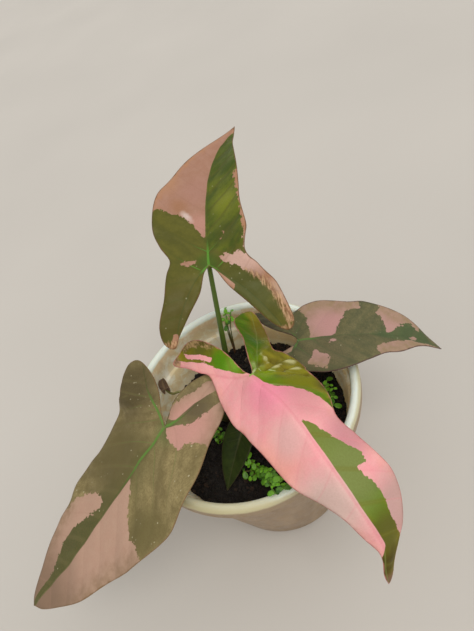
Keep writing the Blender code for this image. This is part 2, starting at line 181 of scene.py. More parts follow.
# %% A material under construction
class Finish:
    """A material under construction."""

    def __init__(self, name, roughness=0.5, **constants):
        self.material = bpy.data.materials.new(name)
        self.material.use_nodes = True
        self.tree = self.material.node_tree
        self.shader = self.tree.nodes["Principled BSDF"]
        self.shader.inputs["Roughness"].default_value = roughness
        for socket, value in constants.items():
            self.shader.inputs[socket.replace("_", " ")].default_value = value

    def add(self, kind, settings=None, inputs=None, output=0):
        node = self.tree.nodes.new(kind)
        for name, value in (settings or {}).items():
            setattr(node, name, value)
        for key, value in (inputs or {}).items():
            self.plug(node.inputs[key], value)
        return Wire(self, node.outputs[output])

    def plug(self, socket, value):
        if isinstance(value, Wire):
            self.tree.links.new(value.socket, socket)
        else:
            socket.default_value = value

    def into(self, **values):
        for name, value in values.items():
            self.plug(self.shader.inputs[name.replace("_", " ")], value)

    def attribute(self, name, output="Fac"):
        return self.add("ShaderNodeAttribute", {"attribute_name": name}, output=output)

    def place(self):
        """Object coordinates in millimetres."""
        where = self.add("ShaderNodeTexCoord", output="Object")
        return self.add("ShaderNodeVectorMath", {"operation": "SCALE"}, {0: where, "Scale": 1.0 / MM})

    def axes(self, vector):
        split = self.add("ShaderNodeSeparateXYZ", inputs={0: vector})
        return [Wire(self, output) for output in split.socket.node.outputs]

    def vector(self, x, y, z):
        return self.add("ShaderNodeCombineXYZ", inputs={0: x, 1: y, 2: z})

    def noise(self, vector, scale, detail=3.0, rough=0.55, warp=0.0):
        return self.add("ShaderNodeTexNoise", None, {
            "Vector": vector, "Scale": scale, "Detail": detail, "Roughness": rough, "Distortion": warp})

    def cells(self, vector, scale, feature="F1", output="Distance"):
        return self.add("ShaderNodeTexVoronoi", {"feature": feature}, {"Vector": vector, "Scale": scale},
                        output)

    def draw(self, vector, scale):
        """One random number for each small cell."""
        return self.axes(self.cells(vector, scale, output="Color"))[0]

    def ramp(self, value, low, high, start=0.0, end=1.0):
        return self.add("ShaderNodeMapRange", {"interpolation_type": "SMOOTHSTEP"},
                        {"Value": value, "From Min": low, "From Max": high, "To Min": start, "To Max": end})

    def mix(self, mask, first, second):
        first = first if isinstance(first, Wire) else (*first, 1.0)
        second = second if isinstance(second, Wire) else (*second, 1.0)
        return self.add("ShaderNodeMix", {"data_type": "RGBA"}, {0: mask, 6: first, 7: second}, 2)

    def bump(self, height, distance, strength=1.0):
        return self.add("ShaderNodeBump", None, {"Height": height, "Distance": distance,
                                                 "Strength": strength}, "Normal")


print("shader helpers ready")

# %% [markdown]
# ## Floor and light
#
# The floor is one wide plain sheet, wide enough that the tilted camera never sees its edge.
# A sun lamp with a large angle acts as a softbox that is far away: it lights the whole floor evenly
# and still leaves a soft shadow. The world gives the fill.

# %% Floor
FLOOR_REACH = 9.0
corners = [(-FLOOR_REACH, -FLOOR_REACH, 0), (FLOOR_REACH, -FLOOR_REACH, 0),
           (FLOOR_REACH, FLOOR_REACH, 0), (-FLOOR_REACH, FLOOR_REACH, 0)]
floor_mesh = bpy.data.meshes.new("floor")
floor_mesh.from_pydata(corners, [], [(0, 1, 2, 3)])
floor = new_object("floor", floor_mesh)
plaster = Finish("floor_paint", 0.9)
cloud = plaster.noise(plaster.place(), 0.004, 2.0)
plaster.into(Base_Color=plaster.mix(cloud, (0.50, 0.472, 0.432), (0.58, 0.547, 0.500)))
floor_mesh.materials.append(plaster.material)
floor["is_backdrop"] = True
print("the floor is", 2 * FLOOR_REACH, "m wide")


# %% Lamps
def sun(name, place, strength, angle, colour):
    """A soft lamp that shines from the place towards the pot."""
    light = bpy.data.lights.new(name, "SUN")
    light.energy = strength
    light.angle = math.radians(angle)
    light.color = colour
    made = new_object(name, light)
    made.matrix_world = (-Vector(place)).to_track_quat("-Z", "Y").to_matrix().to_4x4()


sun("key", (0.15, -0.45, 1.0), 1.05, 30.0, (1.0, 0.98, 0.94))
sun("fill", (0.9, -0.1, 1.0), 0.50, 60.0, (0.97, 0.98, 1.0))
world = bpy.data.worlds.new("room")
world.use_nodes = True
world.node_tree.nodes["Background"].inputs["Color"].default_value = (1.0, 0.98, 0.95, 1.0)
world.node_tree.nodes["Background"].inputs["Strength"].default_value = 0.68
bpy.context.scene.world = world
print("lamps:", [thing.name for thing in bpy.data.lights])

# %% [markdown]
# ## Small helpers
#
# Curves through a few chosen points give margins, stems and petioles. Finished pieces keep their
# object at the origin, ride on the model's one body, and take the place of a plainer CAD node.


# %% Curves
def smoothstep(low, high, value):
    part = np.clip((value - low) / (high - low), 0.0, 1.0)
    return part * part * (3.0 - 2.0 * part)


def smooth_line(points, step):
    """A smooth curve through the points, read off about every step."""
    points = [np.array(point, float) for point in points]
    ends = [2 * points[0] - points[1], *points, 2 * points[-1] - points[-2]]
    line = []
    for before, start, end, after in zip(ends, ends[1:], ends[2:], ends[3:]):
        count = max(1, round(float(np.linalg.norm(end - start)) / step))
        for index in range(count):
            part = index / count
            line.append(0.5 * (2 * start + (end - before) * part
                               + (2 * before - 5 * start + 4 * end - after) * part ** 2
                               + (3 * start - before - 3 * end + after) * part ** 3))
    line.append(points[-1])
    return line


print("a line of three corners has", len(smooth_line([(0, 0), (4, 3), (8, 0)], 1.0)), "points")


# %% Pieces
def plain_mesh(item, name):
    """The evaluated mesh of an object; the object itself goes."""
    bpy.context.view_layer.update()
    graph = bpy.context.evaluated_depsgraph_get()
    mesh = bpy.data.meshes.new_from_object(item.evaluated_get(graph), depsgraph=graph)
    mesh.name = name
    bpy.data.objects.remove(item, do_unlink=True)
    return mesh


def dress(piece, slot, *nodes):
    """Ride on the body and stand for the CAD nodes; the finish slot is not used."""
    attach(piece, "root")
    if nodes:
        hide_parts(*nodes)
    piece.data.shade_smooth()
    print(piece.name, len(piece.data.polygons), "faces")


def poly_curves(name, paths):
    """Poly splines through paths in millimetres."""
    curve = bpy.data.curves.new(name, "CURVE")
    curve.dimensions = "3D"
    for path in paths:
        spline = curve.splines.new("POLY")
        spline.points.add(len(path) - 1)
        for point, place in zip(spline.points, path):
            point.co = (*[value * MM for value in place], 1.0)
    return new_object(name, curve)


print("helpers ready")

# %% [markdown]
# ## Trees that grow geometry
#
# Petioles, crumbs and leaflets follow rules, so Geometry Nodes trees make them. A tree that the script
# builds has named inputs, and one tree serves several pieces with other values. Each result is turned
# into a plain mesh with every instance made real, since a finished model can't carry instances.


# %% Geometry Nodes helper
class Growth:
    """A Geometry Nodes tree with named inputs."""

    def __init__(self, name, **inputs):
        self.group = bpy.data.node_groups.new(name, "GeometryNodeTree")
        self.group.interface.new_socket("Geometry", in_out="INPUT", socket_type="NodeSocketGeometry")
        self.group.interface.new_socket("Geometry", in_out="OUTPUT", socket_type="NodeSocketGeometry")
        kinds = {float: "NodeSocketFloat", int: "NodeSocketInt", str: "NodeSocketMaterial"}
        for label, value in inputs.items():
            socket = self.group.interface.new_socket(label, in_out="INPUT", socket_type=kinds[type(value)])
            if not isinstance(value, str):
                socket.default_value = value
        self.source = self.group.nodes.new("NodeGroupInput")
        self.sink = self.group.nodes.new("NodeGroupOutput")

    def given(self, label):
        return self.source.outputs[label]

    def add(self, kind, settings=None, inputs=None, output=0):
        node = self.group.nodes.new(kind)
        for name, value in (settings or {}).items():
            setattr(node, name, value)
        for key, value in (inputs or {}).items():
            if isinstance(value, (list, bpy.types.NodeSocket)):
                for link in value if isinstance(value, list) else [value]:
                    self.group.links.new(link, node.inputs[key])
            else:
                node.inputs[key].default_value = value
        return node.outputs[output]

    def maths(self, sign, *values):
        return self.add("ShaderNodeMath", {"operation": sign}, dict(enumerate(values)))

    def axis(self, vector, number):
        """One of the three numbers of a vector."""
        return self.add("ShaderNodeSeparateXYZ", None, {0: vector}, number)

    def vector(self, *numbers):
        return self.add("ShaderNodeCombineXYZ", None, dict(enumerate(numbers)))

    def chance(self, low, high, seed):
        """A random number for each point or instance."""
        return self.add("FunctionNodeRandomValue", {"data_type": "FLOAT"}, {2: low, 3: high, 8: seed}, 1)

    def label(self, geometry, name, value, domain="POINT"):
        """Write a number on every point or instance under a name."""
        return self.add("GeometryNodeStoreNamedAttribute", {"data_type": "FLOAT", "domain": domain},
                        {"Geometry": geometry, "Name": name, "Value": value})

    def finish(self, geometry):
        """End in Realize Instances and Set Material."""
        whole = self.add("GeometryNodeRealizeInstances", None, {0: geometry})
        whole = self.add("GeometryNodeSetMaterial", None, {
            "Geometry": whole, "Material": self.given("Material")})
        self.group.links.new(whole, self.sink.inputs[0])

    def grow(self, item, name, **values):
        """Run the tree on an object and keep the plain mesh."""
        modifier = item.modifiers.new("growth", "NODES")
        modifier.node_group = self.group
        sockets = {socket.name: socket.identifier for socket in self.group.interface.items_tree
                   if socket.in_out == "INPUT"}
        for label, value in values.items():
            modifier[sockets[label]] = value
        mesh = plain_mesh(item, name)
        return new_object(name, mesh)


print("growth helper ready")

# %% [markdown]
# ## Leaves
#
# An arrowhead leaf is a flat outline with two basal lobes, folded along its midrib, bent along its
# length and waved at its margin. A sculpted blade could look as good, but here a formula lays a flat
# outline in space: a chain of headings leads the midrib, each half is tilted about it, and low waves
# lift the margin. The flat coordinates stay on every point, so that veins and colour patches can be
# drawn on the leaf as on paper, however it bends.
#
# A leaf is written down as a grower would describe it. Its petiole has a foot, a point on its way (via)
# and a base where the blade starts. The blade has a compass heading, rises or droops in degrees, may
# curl or swing sideways and roll, and has a fold for its left and its right half. Waves and dents shape
# its surface. The outline of each half is measured in millimetres across from the midrib and along from
# the petiole: the main part, the basal lobe, and the lobe's inner side. A midrib is seldom straight, so
# swerve says how far it strays to the right on its way.

# %% Sizes that all leaves share
BLADE = 0.5             # thickness
FILL = 0.85             # spacing of the points inside a blade
LOBE_REACH = 60.0       # the midline is worked out this far behind the petiole
LOBE_BEND = 12.0        # the lobes bend over this length behind the petiole
SWING_REACH = 15.0      # the midline swings sideways over this length each way of the petiole
FOLD_BLEND = 0.12       # share of the length over which the folds of blade and lobes blend
RIB_ROUND = 2.0         # radius of the fold along the midrib
WAVE_WIDTH = 18.0       # distance from the midrib where a wave has its stated height
WAVE_SHIFT = 1.1        # the waves of the two halves are out of step by this angle each
NECK = 8.0              # length of the bend where the petiole turns up into the blade
SOIL_TOP = 55.0
ROOT_DEPTH = 8.0
print("a blade is", BLADE, "mm thick")

# %% [markdown]
# The six leaves follow: tall at the back, hanging over the rim at the right, left and front, a small
# one low in the pot, and a withered one. Most have the same plain values for what is seldom bent.

# %% Leaf sizes
PLAIN_LEAF = dict(arch=1.0, curl=0.0, swing=0.0, roll=0.0, dents=())
LEAVES = {
    "leaf_back": dict(
        PLAIN_LEAF, foot=(-4.5, 12.5), thick=(1.7, 0.95), via=(1.5, 13.0, 88.0), base=(11.5, 21.1, 130.0),
        length=80.0, heading=19.0, rise=9.0, droop=4.0, curl=18.0, roll=14.0, fold=(-2.0, 35.5),
        lobe_fold=(0.0, 6.0), lobe_drop=30.0, wave=(0.9, 26.0, 0.4), tip=80.3,
        swerve=((8, -0.4), (21, -1.2), (30, -2), (45, -3), (56, -3), (65, -2.3), (72, -0.9), (80, 0.4)),
        left=dict(main=((1.5, 76), (4.8, 69.5), (9.5, 61), (14.5, 52.5), (18, 44.5), (21.5, 35.5),
                        (23, 26), (22, 18), (18.5, 9.5), (14.8, 3.5)),
                  lobe=((16, -2), (17.5, -10), (21, -20), (20.5, -26.5), (17, -28.8)),
                  inner=((14.3, -24.5), (9, -17), (4, -10), (1.8, -3))),
        right=dict(main=((2.0, 76), (5.7, 68), (10.5, 58.5), (14.5, 47), (16.2, 36), (16.8, 24),
                         (18.8, 11), (15.3, 1.5)),
                   lobe=((19, -4), (24, -11), (26.5, -20), (27.3, -27), (24.5, -29.5)),
                   inner=((19, -25.5), (12.5, -17), (6.5, -9.5), (2.8, -2.8)))),
    "leaf_right": dict(
        PLAIN_LEAF, foot=(2.5, 6.0), thick=(2.0, 1.1), via=(12.0, 6.0, 74.0), base=(31.7, 7.0, 83.8),
        length=68.5, heading=104.0, rise=1.0, droop=60.0, arch=1.3, curl=4.0, roll=-7.0, fold=(9.0, 8.0),
        lobe_fold=(0.0, 0.0), lobe_drop=6.0, wave=(0.8, 24.0, 2.0), tip=66.8,
        swerve=((9, 1.2), (20, 2.2), (35, 2.6), (50, 2.2), (67, 2)),
        left=dict(main=((3.5, 59), (8.5, 53), (13, 46), (17, 38.5), (18, 31), (17.8, 24), (21.5, 14),
                        (19, 6.5), (16.3, 1)),
                  lobe=((17, -3.5), (21.5, -10.5), (25, -16)),
                  inner=((23.5, -18.3), (17.5, -15), (10, -8.5), (3.5, -1.6))),
        right=dict(main=((2, 61), (3.5, 55), (6, 48.5), (11, 39.5), (12, 32.5), (16, 25), (20.8, 17),
                         (20.8, 9), (18.6, 1)),
                   lobe=((18.5, -8), (15.8, -16.3)), inner=((11, -14.8), (5, -9), (2, -2.5)))),
    "leaf_left": dict(
        PLAIN_LEAF, foot=(-11.5, 4.5), thick=(2.0, 1.15), via=(-18.0, 0.0, 74.0),
        base=(-31.3, -8.2, 90.3), length=89.0, heading=-110.0, rise=-13.0, droop=14.0, curl=-2.0,
        swing=-30.0, fold=(7.0, -8.0), lobe_fold=(-4.0, 0.0), lobe_drop=3.0, wave=(0.5, 28.0, 1.0),
        tip=88.0,
        swerve=((15, 0), (24, -1.1), (40, -1.7), (52, -2.1), (64, -1.9), (78, 0.4), (88, 1.8)),
        left=dict(main=((5, 84), (10.5, 76), (16.5, 65), (21.5, 51.5), (27, 40.5), (30.3, 30), (31, 17),
                        (27.8, 7), (21.3, -2)),
                  lobe=((21, -11), (20.3, -19), (15.5, -27)),
                  inner=((8.5, -24), (2.5, -18.5), (-1.2, -11), (-0.8, -4))),
        right=dict(main=((4, 85), (9.5, 77), (16.5, 68.5), (19.5, 60), (20, 52), (24.5, 45), (25, 36),
                         (23.2, 28), (25, 20.5), (29.5, 13.1), (32.7, 8.5),
                         (29.1, 1.0)),
                   lobe=((27.7, -5.5), (29.9, -13), (31, -18), (29.3, -23), (24.5, -25)),
                   inner=((17, -20.8), (10, -13.8), (5, -5.2)))),
    "leaf_front": dict(
        PLAIN_LEAF, foot=(-3.5, -1.0), thick=(2.2, 1.3), via=(2.0, -5.0, 80.0), base=(8.6, -12.9, 103.0),
        length=99.0, heading=164.0, rise=22.0, droop=111.0, curl=13.0, roll=-2.0, fold=(-28.0, -38.0),
        lobe_fold=(-36.0, -30.0), lobe_drop=-26.0, wave=(0.7, 22.0, 0.0), tip=98.0,
        dents=((11.0, 54.5, 5.0, -2.2),),
        swerve=((9, 0.2), (21, -1), (40, -0.6), (60, -1), (75, -1.9), (81, -0.7), (88, 1), (98, 1.6)),
        left=dict(main=((2.9, 93), (5.0, 88), (8.8, 81.5), (13.5, 74), (18, 67), (19.6, 60),
                        (18, 50.5), (16, 41.5), (13.9, 33), (17, 25), (19, 17), (20.5, 6),
                        (24.8, -4.5), (23, -9.3), (20, -12)),
                  lobe=((24, -20.5), (27, -28), (28.5, -37.5)),
                  inner=((24.5, -38), (17, -35.3), (13.7, -31), (11.5, -22.5), (5, -10), (1.3, -2.2))),
        right=dict(main=((0.9, 91), (1.2, 81), (4.7, 72.5), (6.8, 63), (9.8, 57), (13.5, 50.5),
                         (16.5, 44), (18.2, 32), (19.8, 20), (19, 11.5), (19.5, 4), (17.3, -5),
                         (14.3, -11.5)),
                   lobe=((13.1, -17.2), (15.6, -21.8), (18.4, -29), (22.2, -36)),
                   inner=((16.4, -36.6), (11, -36.5), (6.5, -32.8), (3.2, -25), (1.3, -17), (1.1, -6)))),
    "leaf_low": dict(
        PLAIN_LEAF, foot=(-8.0, -1.5), thick=(1.3, 0.8), via=(-7.0, -5.0, 66.0), base=(-3.5, -12.0, 73.0),
        length=28.0, heading=-132.0, rise=-22.0, droop=16.0, fold=(14.0, 10.0), lobe_fold=(4.0, 4.0),
        lobe_drop=10.0, wave=(0.3, 14.0, 0.0), tip=28.0, swerve=((14, 0), (28, 0)),
        left=dict(main=((4, 19), (6.5, 9), (6, 0)), lobe=((4.5, -6),), inner=((1.2, -2.5),)),
        right=dict(main=((4.5, 19), (7, 9), (6.5, 0)), lobe=((4.5, -6),), inner=((1.2, -2.5),))),
    "leaf_withered": dict(
        PLAIN_LEAF, foot=(-9.5, 9.5), thick=(1.0, 0.55), via=(-24.5, 21.5, 66.5),
        base=(-31.3, 22.5, 73.5), length=12.0, heading=-14.0, rise=-8.0, droop=30.0, curl=20.0, roll=10.0,
        fold=(30.0, 30.0), lobe_fold=(20.0, 20.0), lobe_drop=0.0, wave=(0.3, 6.0, 0.0), tip=12.0,
        swerve=((6, 0), (12, 0)),
        left=dict(main=((1.8, 8), (2.5, 3), (2.1, -1)), lobe=((1.4, -3),), inner=((0.6, -1.2),)),
        right=dict(main=((1.6, 8), (2.3, 3), (2.0, -1)), lobe=((1.4, -3),), inner=((0.6, -1.2),))),
}
print(len(LEAVES), "leaves")

# %% [markdown]
# ### Colour patches
#
# Each patch is a short outline in flat leaf coordinates: across, with the left half negative, and
# along, from the petiole. Every point of the blade gets its distance to the edge of the nearest patch.
# The finish turns that distance into a ragged edge, which a mesh or an image could only fix once.
# The front leaf is pink with green sectors, the others are green with pink patches. Fresh marks the
# clearer green along the midrib, and brown the parts where the leaf has dried.

# %% Patch outlines
PINK = {
    "leaf_back": (
        ((3, 83), (3, 77), (0.5, 72), (-0.4, 66), (-0.8, 50), (-0.8, 20), (-0.8, 13), (-2.5, 14.5),
         (-4.5, 17.5), (-7, 20.5), (-10.5, 24), (-13.5, 26), (-17.5, 27.5), (-21, 28), (-23, 29),
         (-26, 28), (-40, 30), (-40, 82)),
        ((10.5, 44), (11, 40.5), (13.5, 30.5), (15.5, 21), (16.3, 15), (16.5, 8.5), (15, 2.5), (30, 2),
         (30, 45)),
        ((4.5, 2.5), (7.5, 3), (11, 1.5), (12.5, 2.5), (14, 1.5), (19, -4), (32, -5), (32, -26),
         (26.5, -27), (25, -21.5), (23, -16.5), (21, -12), (18, -8), (14, -5), (11.5, -3), (8, -1),
         (5.5, 1)),
        ((1.5, -1), (4, -3.8), (6.5, -6.5), (9, -9.5), (8, -13), (4, -11), (1, -5)),
        ((-11, 1.8), (-8.5, 3), (-5, 2.6), (-5.5, 1.2), (-8, 0.8), (-10.5, 0.8)),
        ((6, 10.5), (7, 13.6), (8, 13.2), (7, 10)),
        ((-18.5, -29), (-16.5, -23.5), (-15, -23.5), (-14, -29))),
    "leaf_right": (
        ((-16.5, 3), (-24, 3), (-24, 12), (-19, 30), (-15.5, 29.5), (-14, 28.5), (-11.5, 28), (-11.5, 26),
         (-11, 23.5), (-10.5, 21.5), (-9, 21.5), (-7, 20), (-5, 18.5), (-1.5, 16), (-0.6, 14), (-0.6, 5),
         (-2.5, 5.5), (-7, 5.5), (-12, 5.5), (-15, 4)),
        ((-13.5, 37.5), (-22, 40), (-10, 60), (-3.5, 53.5), (-5, 50.5), (-5, 47), (-3.5, 43.5),
         (-1.5, 39.5), (-0.8, 37), (-3.5, 37), (-6.5, 37), (-9, 35)),
        ((10.5, 30), (9, 32.5), (7, 36.5), (5.5, 41), (4, 44.5), (3, 50), (3.5, 52.5), (2, 57.5),
         (0.5, 66), (0.5, 72), (12, 72), (24, 42), (22, 31), (13, 30)),
        ((9, 5), (8.5, 6.5), (10.5, 7.5), (12, 9.5), (14, 10.5), (16, 11), (20.5, 9.5), (19, 7),
         (15.5, 2.5), (13, 3), (11, 5)),
        ((2.5, 12.5), (1.5, 14.5), (3.5, 15.5), (5, 12.5)),
        ((1, 46.5), (-1, 50), (0, 51.5), (2, 49.5), (2, 47)),
        ((1.5, -8), (2, -2), (5, -3.5), (6, -7))),
    "leaf_left": (
        ((-0.8, 23), (-0.8, 88), (-3, 94), (-40, 94), (-40, 35), (-31.5, 34.5), (-28, 34.5),
         (-23.5, 33.5), (-20.5, 35), (-14, 32), (-8.5, 27.5), (-4, 24.5)),
        ((30, 53.5), (16.5, 53.5), (16, 48.5), (13.5, 43.5), (8, 38), (3.5, 37.5), (2.5, 40), (4, 45),
         (5, 49), (7, 55), (7.5, 60.5), (5.5, 66), (3.3, 71), (2.3, 78), (1.5, 84), (0.8, 94), (30, 94)),
        ((0, -3), (2, -8), (-1.5, -11.5), (-3.5, -14.5), (-6.5, -16.5), (-10, -21), (-14.5, -23),
         (-17, -19), (-12, -15.5), (-8, -12), (-5, -7.5), (-3, -4)),
        ((-1, 0), (-4.5, -2.5), (-10, -4.5), (-13.5, -9), (-17.5, -13.5), (-21, -15), (-34, -10),
         (-34, 1), (-21, -1), (-17, -1), (-15.5, 0), (-13, 1), (-13.5, 2.5), (-11, 3.5), (-6.5, 3.5),
         (-2.5, 1.5))),
}
GREEN_ON_PINK = (
    ((0, -1), (-0.8, 4), (-1.3, 7.5), (-3.5, 11.5), (-8, 14.5), (-11.5, 18.5), (-14, 24), (-15, 30),
     (-26, 30), (-40, 10), (-40, -50), (0, -50)),
    ((-1, -2), (2, -4), (5, -10), (8, -15.5), (10.5, -21), (14, -27), (19, -35), (24, -42), (-1, -50)),
    ((-0.9, 28), (-4.5, 32.5), (-7.5, 37.5), (-10.5, 42.5), (-13.5, 46.5), (-13, 51), (-9, 50.5),
     (-9.5, 54), (-11, 57), (-11.5, 61.5), (-11.5, 66), (-10, 70), (-10, 79), (-8, 100), (8, 100),
     (8, 89), (3.2, 84), (1, 80), (-0.9, 76)))
STRIPE_ON_GREEN = (((15.5, -35), (13, -31), (9.5, -26.5), (7, -21), (8.8, -20.5), (12, -26.5),
                    (15.5, -31.5)),)
FRESH = {
    "leaf_back": (((-0.5, 84), (-0.5, 8), (8, 4), (19, 4), (24, 40), (8, 84)),),
    "leaf_right": (((-4, 40), (-6, 52), (4, 66), (6, 52), (3, 36), (0, 30)),),
    "leaf_left": (((-0.8, 6), (-0.8, 92), (5, 92), (9, 60), (7, 40), (3, 14)),),
    "leaf_front": (
        ((-1, 8), (-4, 12), (-9, 16), (-14, 24), (-15, 30), (-17.5, 24), (-14, 15), (-10, 9), (-4, 3),
         (0, -2)),
        ((1, 0), (-6, -4), (-12, -11), (-18, -20), (-22, -29), (-25, -44), (-8, -44), (0, -10)),
        ((-1, -1), (6, -12), (10, -20), (4, -22), (-1, -10)),
        ((-0.9, 28), (-13, 40), (-14, 60), (-9, 74), (-0.9, 76))),
}
BROWN = {
    "leaf_back": (
        ((13, -4), (17, -5.5), (20.5, -9), (23.5, -14), (25.8, -21), (28.5, -26), (25, -27.5),
         (23.5, -21), (21.5, -15), (18.5, -10), (15, -6)),
        ((-22, -26), (-20, -30), (-14, -30), (-15.5, -25.5), (-17.5, -26)),
        ((16.5, -28.5), (22, -31.5), (29, -30), (27, -27.5), (20, -28))),
    "leaf_front": (
        ((1, -22), (4, -24), (7, -29), (10.5, -33), (15, -34.4), (16, -38), (6, -38), (0, -30)),
        ((18.6, -33.4), (21.5, -32.4), (22.5, -37), (18, -37))),
}
print("patches:", {name: len(outlines) for name, outlines in PINK.items()})

# %% [markdown]
# The distance to an outline is the shortest one to any of its edges. A point is inside where a line
# from it to one side crosses the outline an odd number of times.


# %% Distance to a patch
def patch_distance(flat, outlines):
    """Distance to the edge of the nearest patch in millimetres, positive inside it."""
    best = np.full(len(flat), -99.0)
    for outline in outlines:
        corners = np.array(outline, float)
        gap = np.full(len(flat), 1e9)
        inside = np.zeros(len(flat), bool)
        for (ax, ay), (bx, by) in zip(corners, np.roll(corners, -1, 0)):
            edge = np.array((bx - ax, by - ay))
            away = flat - (ax, ay)
            part = np.clip(away @ edge / (edge @ edge), 0.0, 1.0)
            gap = np.minimum(gap, np.linalg.norm(away - part[:, None] * edge, axis=1))
            crosses = (ay > flat[:, 1]) != (by > flat[:, 1])
            slope = (bx - ax) / (by - ay) if by != ay else 0.0
            inside ^= crosses & (flat[:, 0] < ax + slope * (flat[:, 1] - ay))
        best = np.maximum(best, np.where(inside, gap, -gap))
    return best


square = ((0, 0), (10, 0), (10, 10), (0, 10))
print("distances to the edge of a square:", patch_distance(np.array([(5.0, 2.0), (13.0, 5.0)]), [square]))

# %% [markdown]
# ### The bent surface
#
# The midline is a chain of short steps whose pitch and heading change along the leaf. Around each
# point of it stand a side direction and a normal, like the arms of someone who walks along it.


# %% Midline
def midline(leaf, along):
    """Point, side and normal of the blade's middle at each distance along."""
    stations = np.unique(np.append(np.arange(-LOBE_REACH, 1.1 * leaf["length"], 1.5), 0.0))

    def headings(value):
        part = np.clip(value, 0.0, None) / leaf["length"]
        pitch = leaf["rise"] - leaf["droop"] * part ** leaf["arch"]
        pitch = pitch + leaf["lobe_drop"] * smoothstep(0.0, LOBE_BEND, -value)
        turn = leaf["heading"] + leaf["curl"] * part
        turn = turn + leaf["swing"] * (1.0 - smoothstep(-SWING_REACH, SWING_REACH, value))
        pitch, turn = np.radians(pitch), np.radians(turn)
        forward = np.stack([np.sin(turn) * np.cos(pitch), np.cos(turn) * np.cos(pitch), np.sin(pitch)], 1)
        return forward, np.stack([np.cos(turn), -np.sin(turn), 0.0 * turn], 1)

    forward, _ = headings(stations)
    steps = (forward[1:] + forward[:-1]) / 2 * np.diff(stations)[:, None]
    places = np.vstack([np.zeros(3), np.cumsum(steps, 0)])
    places = places - places[np.searchsorted(stations, 0.0)]
    point = np.stack([np.interp(along, stations, places[:, axis]) for axis in range(3)], 1)
    forward, side = headings(along)
    up = np.cross(side, forward)
    roll = math.radians(leaf["roll"])
    across = side * math.cos(roll) - up * math.sin(roll)
    normal = up * math.cos(roll) + side * math.sin(roll)
    return point + np.array(leaf["base"]), across, normal


def swerve(leaf, along):
    """How far the midrib has strayed to the right of a straight line."""
    line = np.array(smooth_line([(0.0, 0.0), *leaf["swerve"]], 2.0))
    return np.interp(along, line[:, 0], line[:, 1])


point, side, normal = midline(LEAVES["leaf_back"], np.array([0.0, 80.0]))
print("the back leaf's tip is", round(float(point[1][2] - point[0][2]), 1), "mm over its petiole's end")

# %% [markdown]
# A flat point is carried out from the midline along those directions. The midrib's swerve is added
# first, then the fold of each half, the waves and the dents.


# %% Bent surface
def blade_surface(leaf, flat):
    """Lay flat leaf points on the bent, folded and waved blade."""
    x, y = flat[:, 0], flat[:, 1]
    point, across, normal = midline(leaf, y)
    point = point + across * swerve(leaf, y)[:, None]
    blend = FOLD_BLEND * leaf["length"]
    main = smoothstep(-blend, blend, y)
    left = leaf["lobe_fold"][0] * (1.0 - main) + leaf["fold"][0] * main
    right = leaf["lobe_fold"][1] * (1.0 - main) + leaf["fold"][1] * main
    angle = np.radians(np.where(x > 0.0, right, left))
    lift = np.sin(angle) * (np.sqrt(x * x + RIB_ROUND ** 2) - RIB_ROUND)
    height, length, phase = leaf["wave"]
    shift = np.where(x > 0.0, WAVE_SHIFT, -WAVE_SHIFT)
    lift = lift + height * (x / WAVE_WIDTH) ** 2 * np.sin(math.tau * y / length + phase + shift)
    for dent_x, dent_y, reach, depth in leaf["dents"]:
        lift = lift + depth * np.exp(-((x - dent_x) ** 2 + (y - dent_y) ** 2) / reach ** 2)
    return point + across * (x * np.cos(angle))[:, None] + normal * lift[:, None]


spread = blade_surface(LEAVES["leaf_left"], np.array([(-30.0, 20.0), (25.0, 20.0)]))
print("55 mm of flat blade span", round(float(np.linalg.norm(spread[1] - spread[0])), 1), "mm when folded")

# %% [markdown]
# The outline is filled with rows of points, which are then joined to triangles as even as possible.
# Even triangles bend well wherever the blade folds, and the margin has points of its own, so it
# stays crisp.

# %% Flat blade
LOBE_SPAN = 45.0        # no blade reaches further back or aside than this
ROW_STEP = 0.87         # height of an equal-sided triangle of side one
EDGE_GAP = 0.55         # inner points keep this share of a step from the margin


def half_margin(leaf, side, step):
    half = leaf[side]
    sign = 1.0 if side == "right" else -1.0
    corners = [(0.0, leaf["tip"]), *half["main"], *half["lobe"], *half["inner"], (0.0, 0.0)]
    return [(sign * x, y) for x, y in smooth_line(corners, step)]


def flat_blade(leaf, step):
    """The outline filled with triangles, in flat leaf coordinates."""
    outline = np.array(half_margin(leaf, "right", step) + half_margin(leaf, "left", step)[-2:0:-1])
    rows = np.arange(-LOBE_SPAN, leaf["length"], step * ROW_STEP)
    grid = np.array([(step * (column + 0.5 * (number % 2)), row) for number, row in enumerate(rows)
                     for column in range(int(-LOBE_SPAN / step), int(LOBE_SPAN / step))])
    grid = grid[patch_distance(grid, [outline]) > EDGE_GAP * step]
    points = [Vector(point) for point in (*outline, *grid)]
    edges = [(index, (index + 1) % len(outline)) for index in range(len(outline))]
    made = delaunay_2d_cdt(points, edges, [], 1, 1e-4)
    return np.array([tuple(point) for point in made[0]]), [tuple(face) for face in made[2]], outline


flat, faces, outline = flat_blade(LEAVES["leaf_front"], 4.0)
print("a coarse front blade has", len(flat), "points and", len(faces), "triangles")

# %% [markdown]
# ### Veins
#
# Side veins leave the midrib in pairs and sweep towards the tip. Each basal lobe has a bowed rib of its
# own with side veins on it. Both follow one rule, a number that grows steadily along the leaf and is
# whole on each vein. The rule is written once: given arrays it shapes the mesh, and given shader
# wires it draws the same veins in the finish.

# %% Vein rule
VEIN_LEAF = 90.0        # the two steps are given for a leaf of this length
VEIN_STEP = 11.5        # from one side vein to the next, along the midrib
LOBE_STEP = 8.0         # the same along the rib of a lobe
RIB_BOW = 2.2           # how far the rib of a lobe bends outward, half way along


def smaller(a, b):
    return a.math("MINIMUM", b) if isinstance(a, Wire) else np.minimum(a, b)


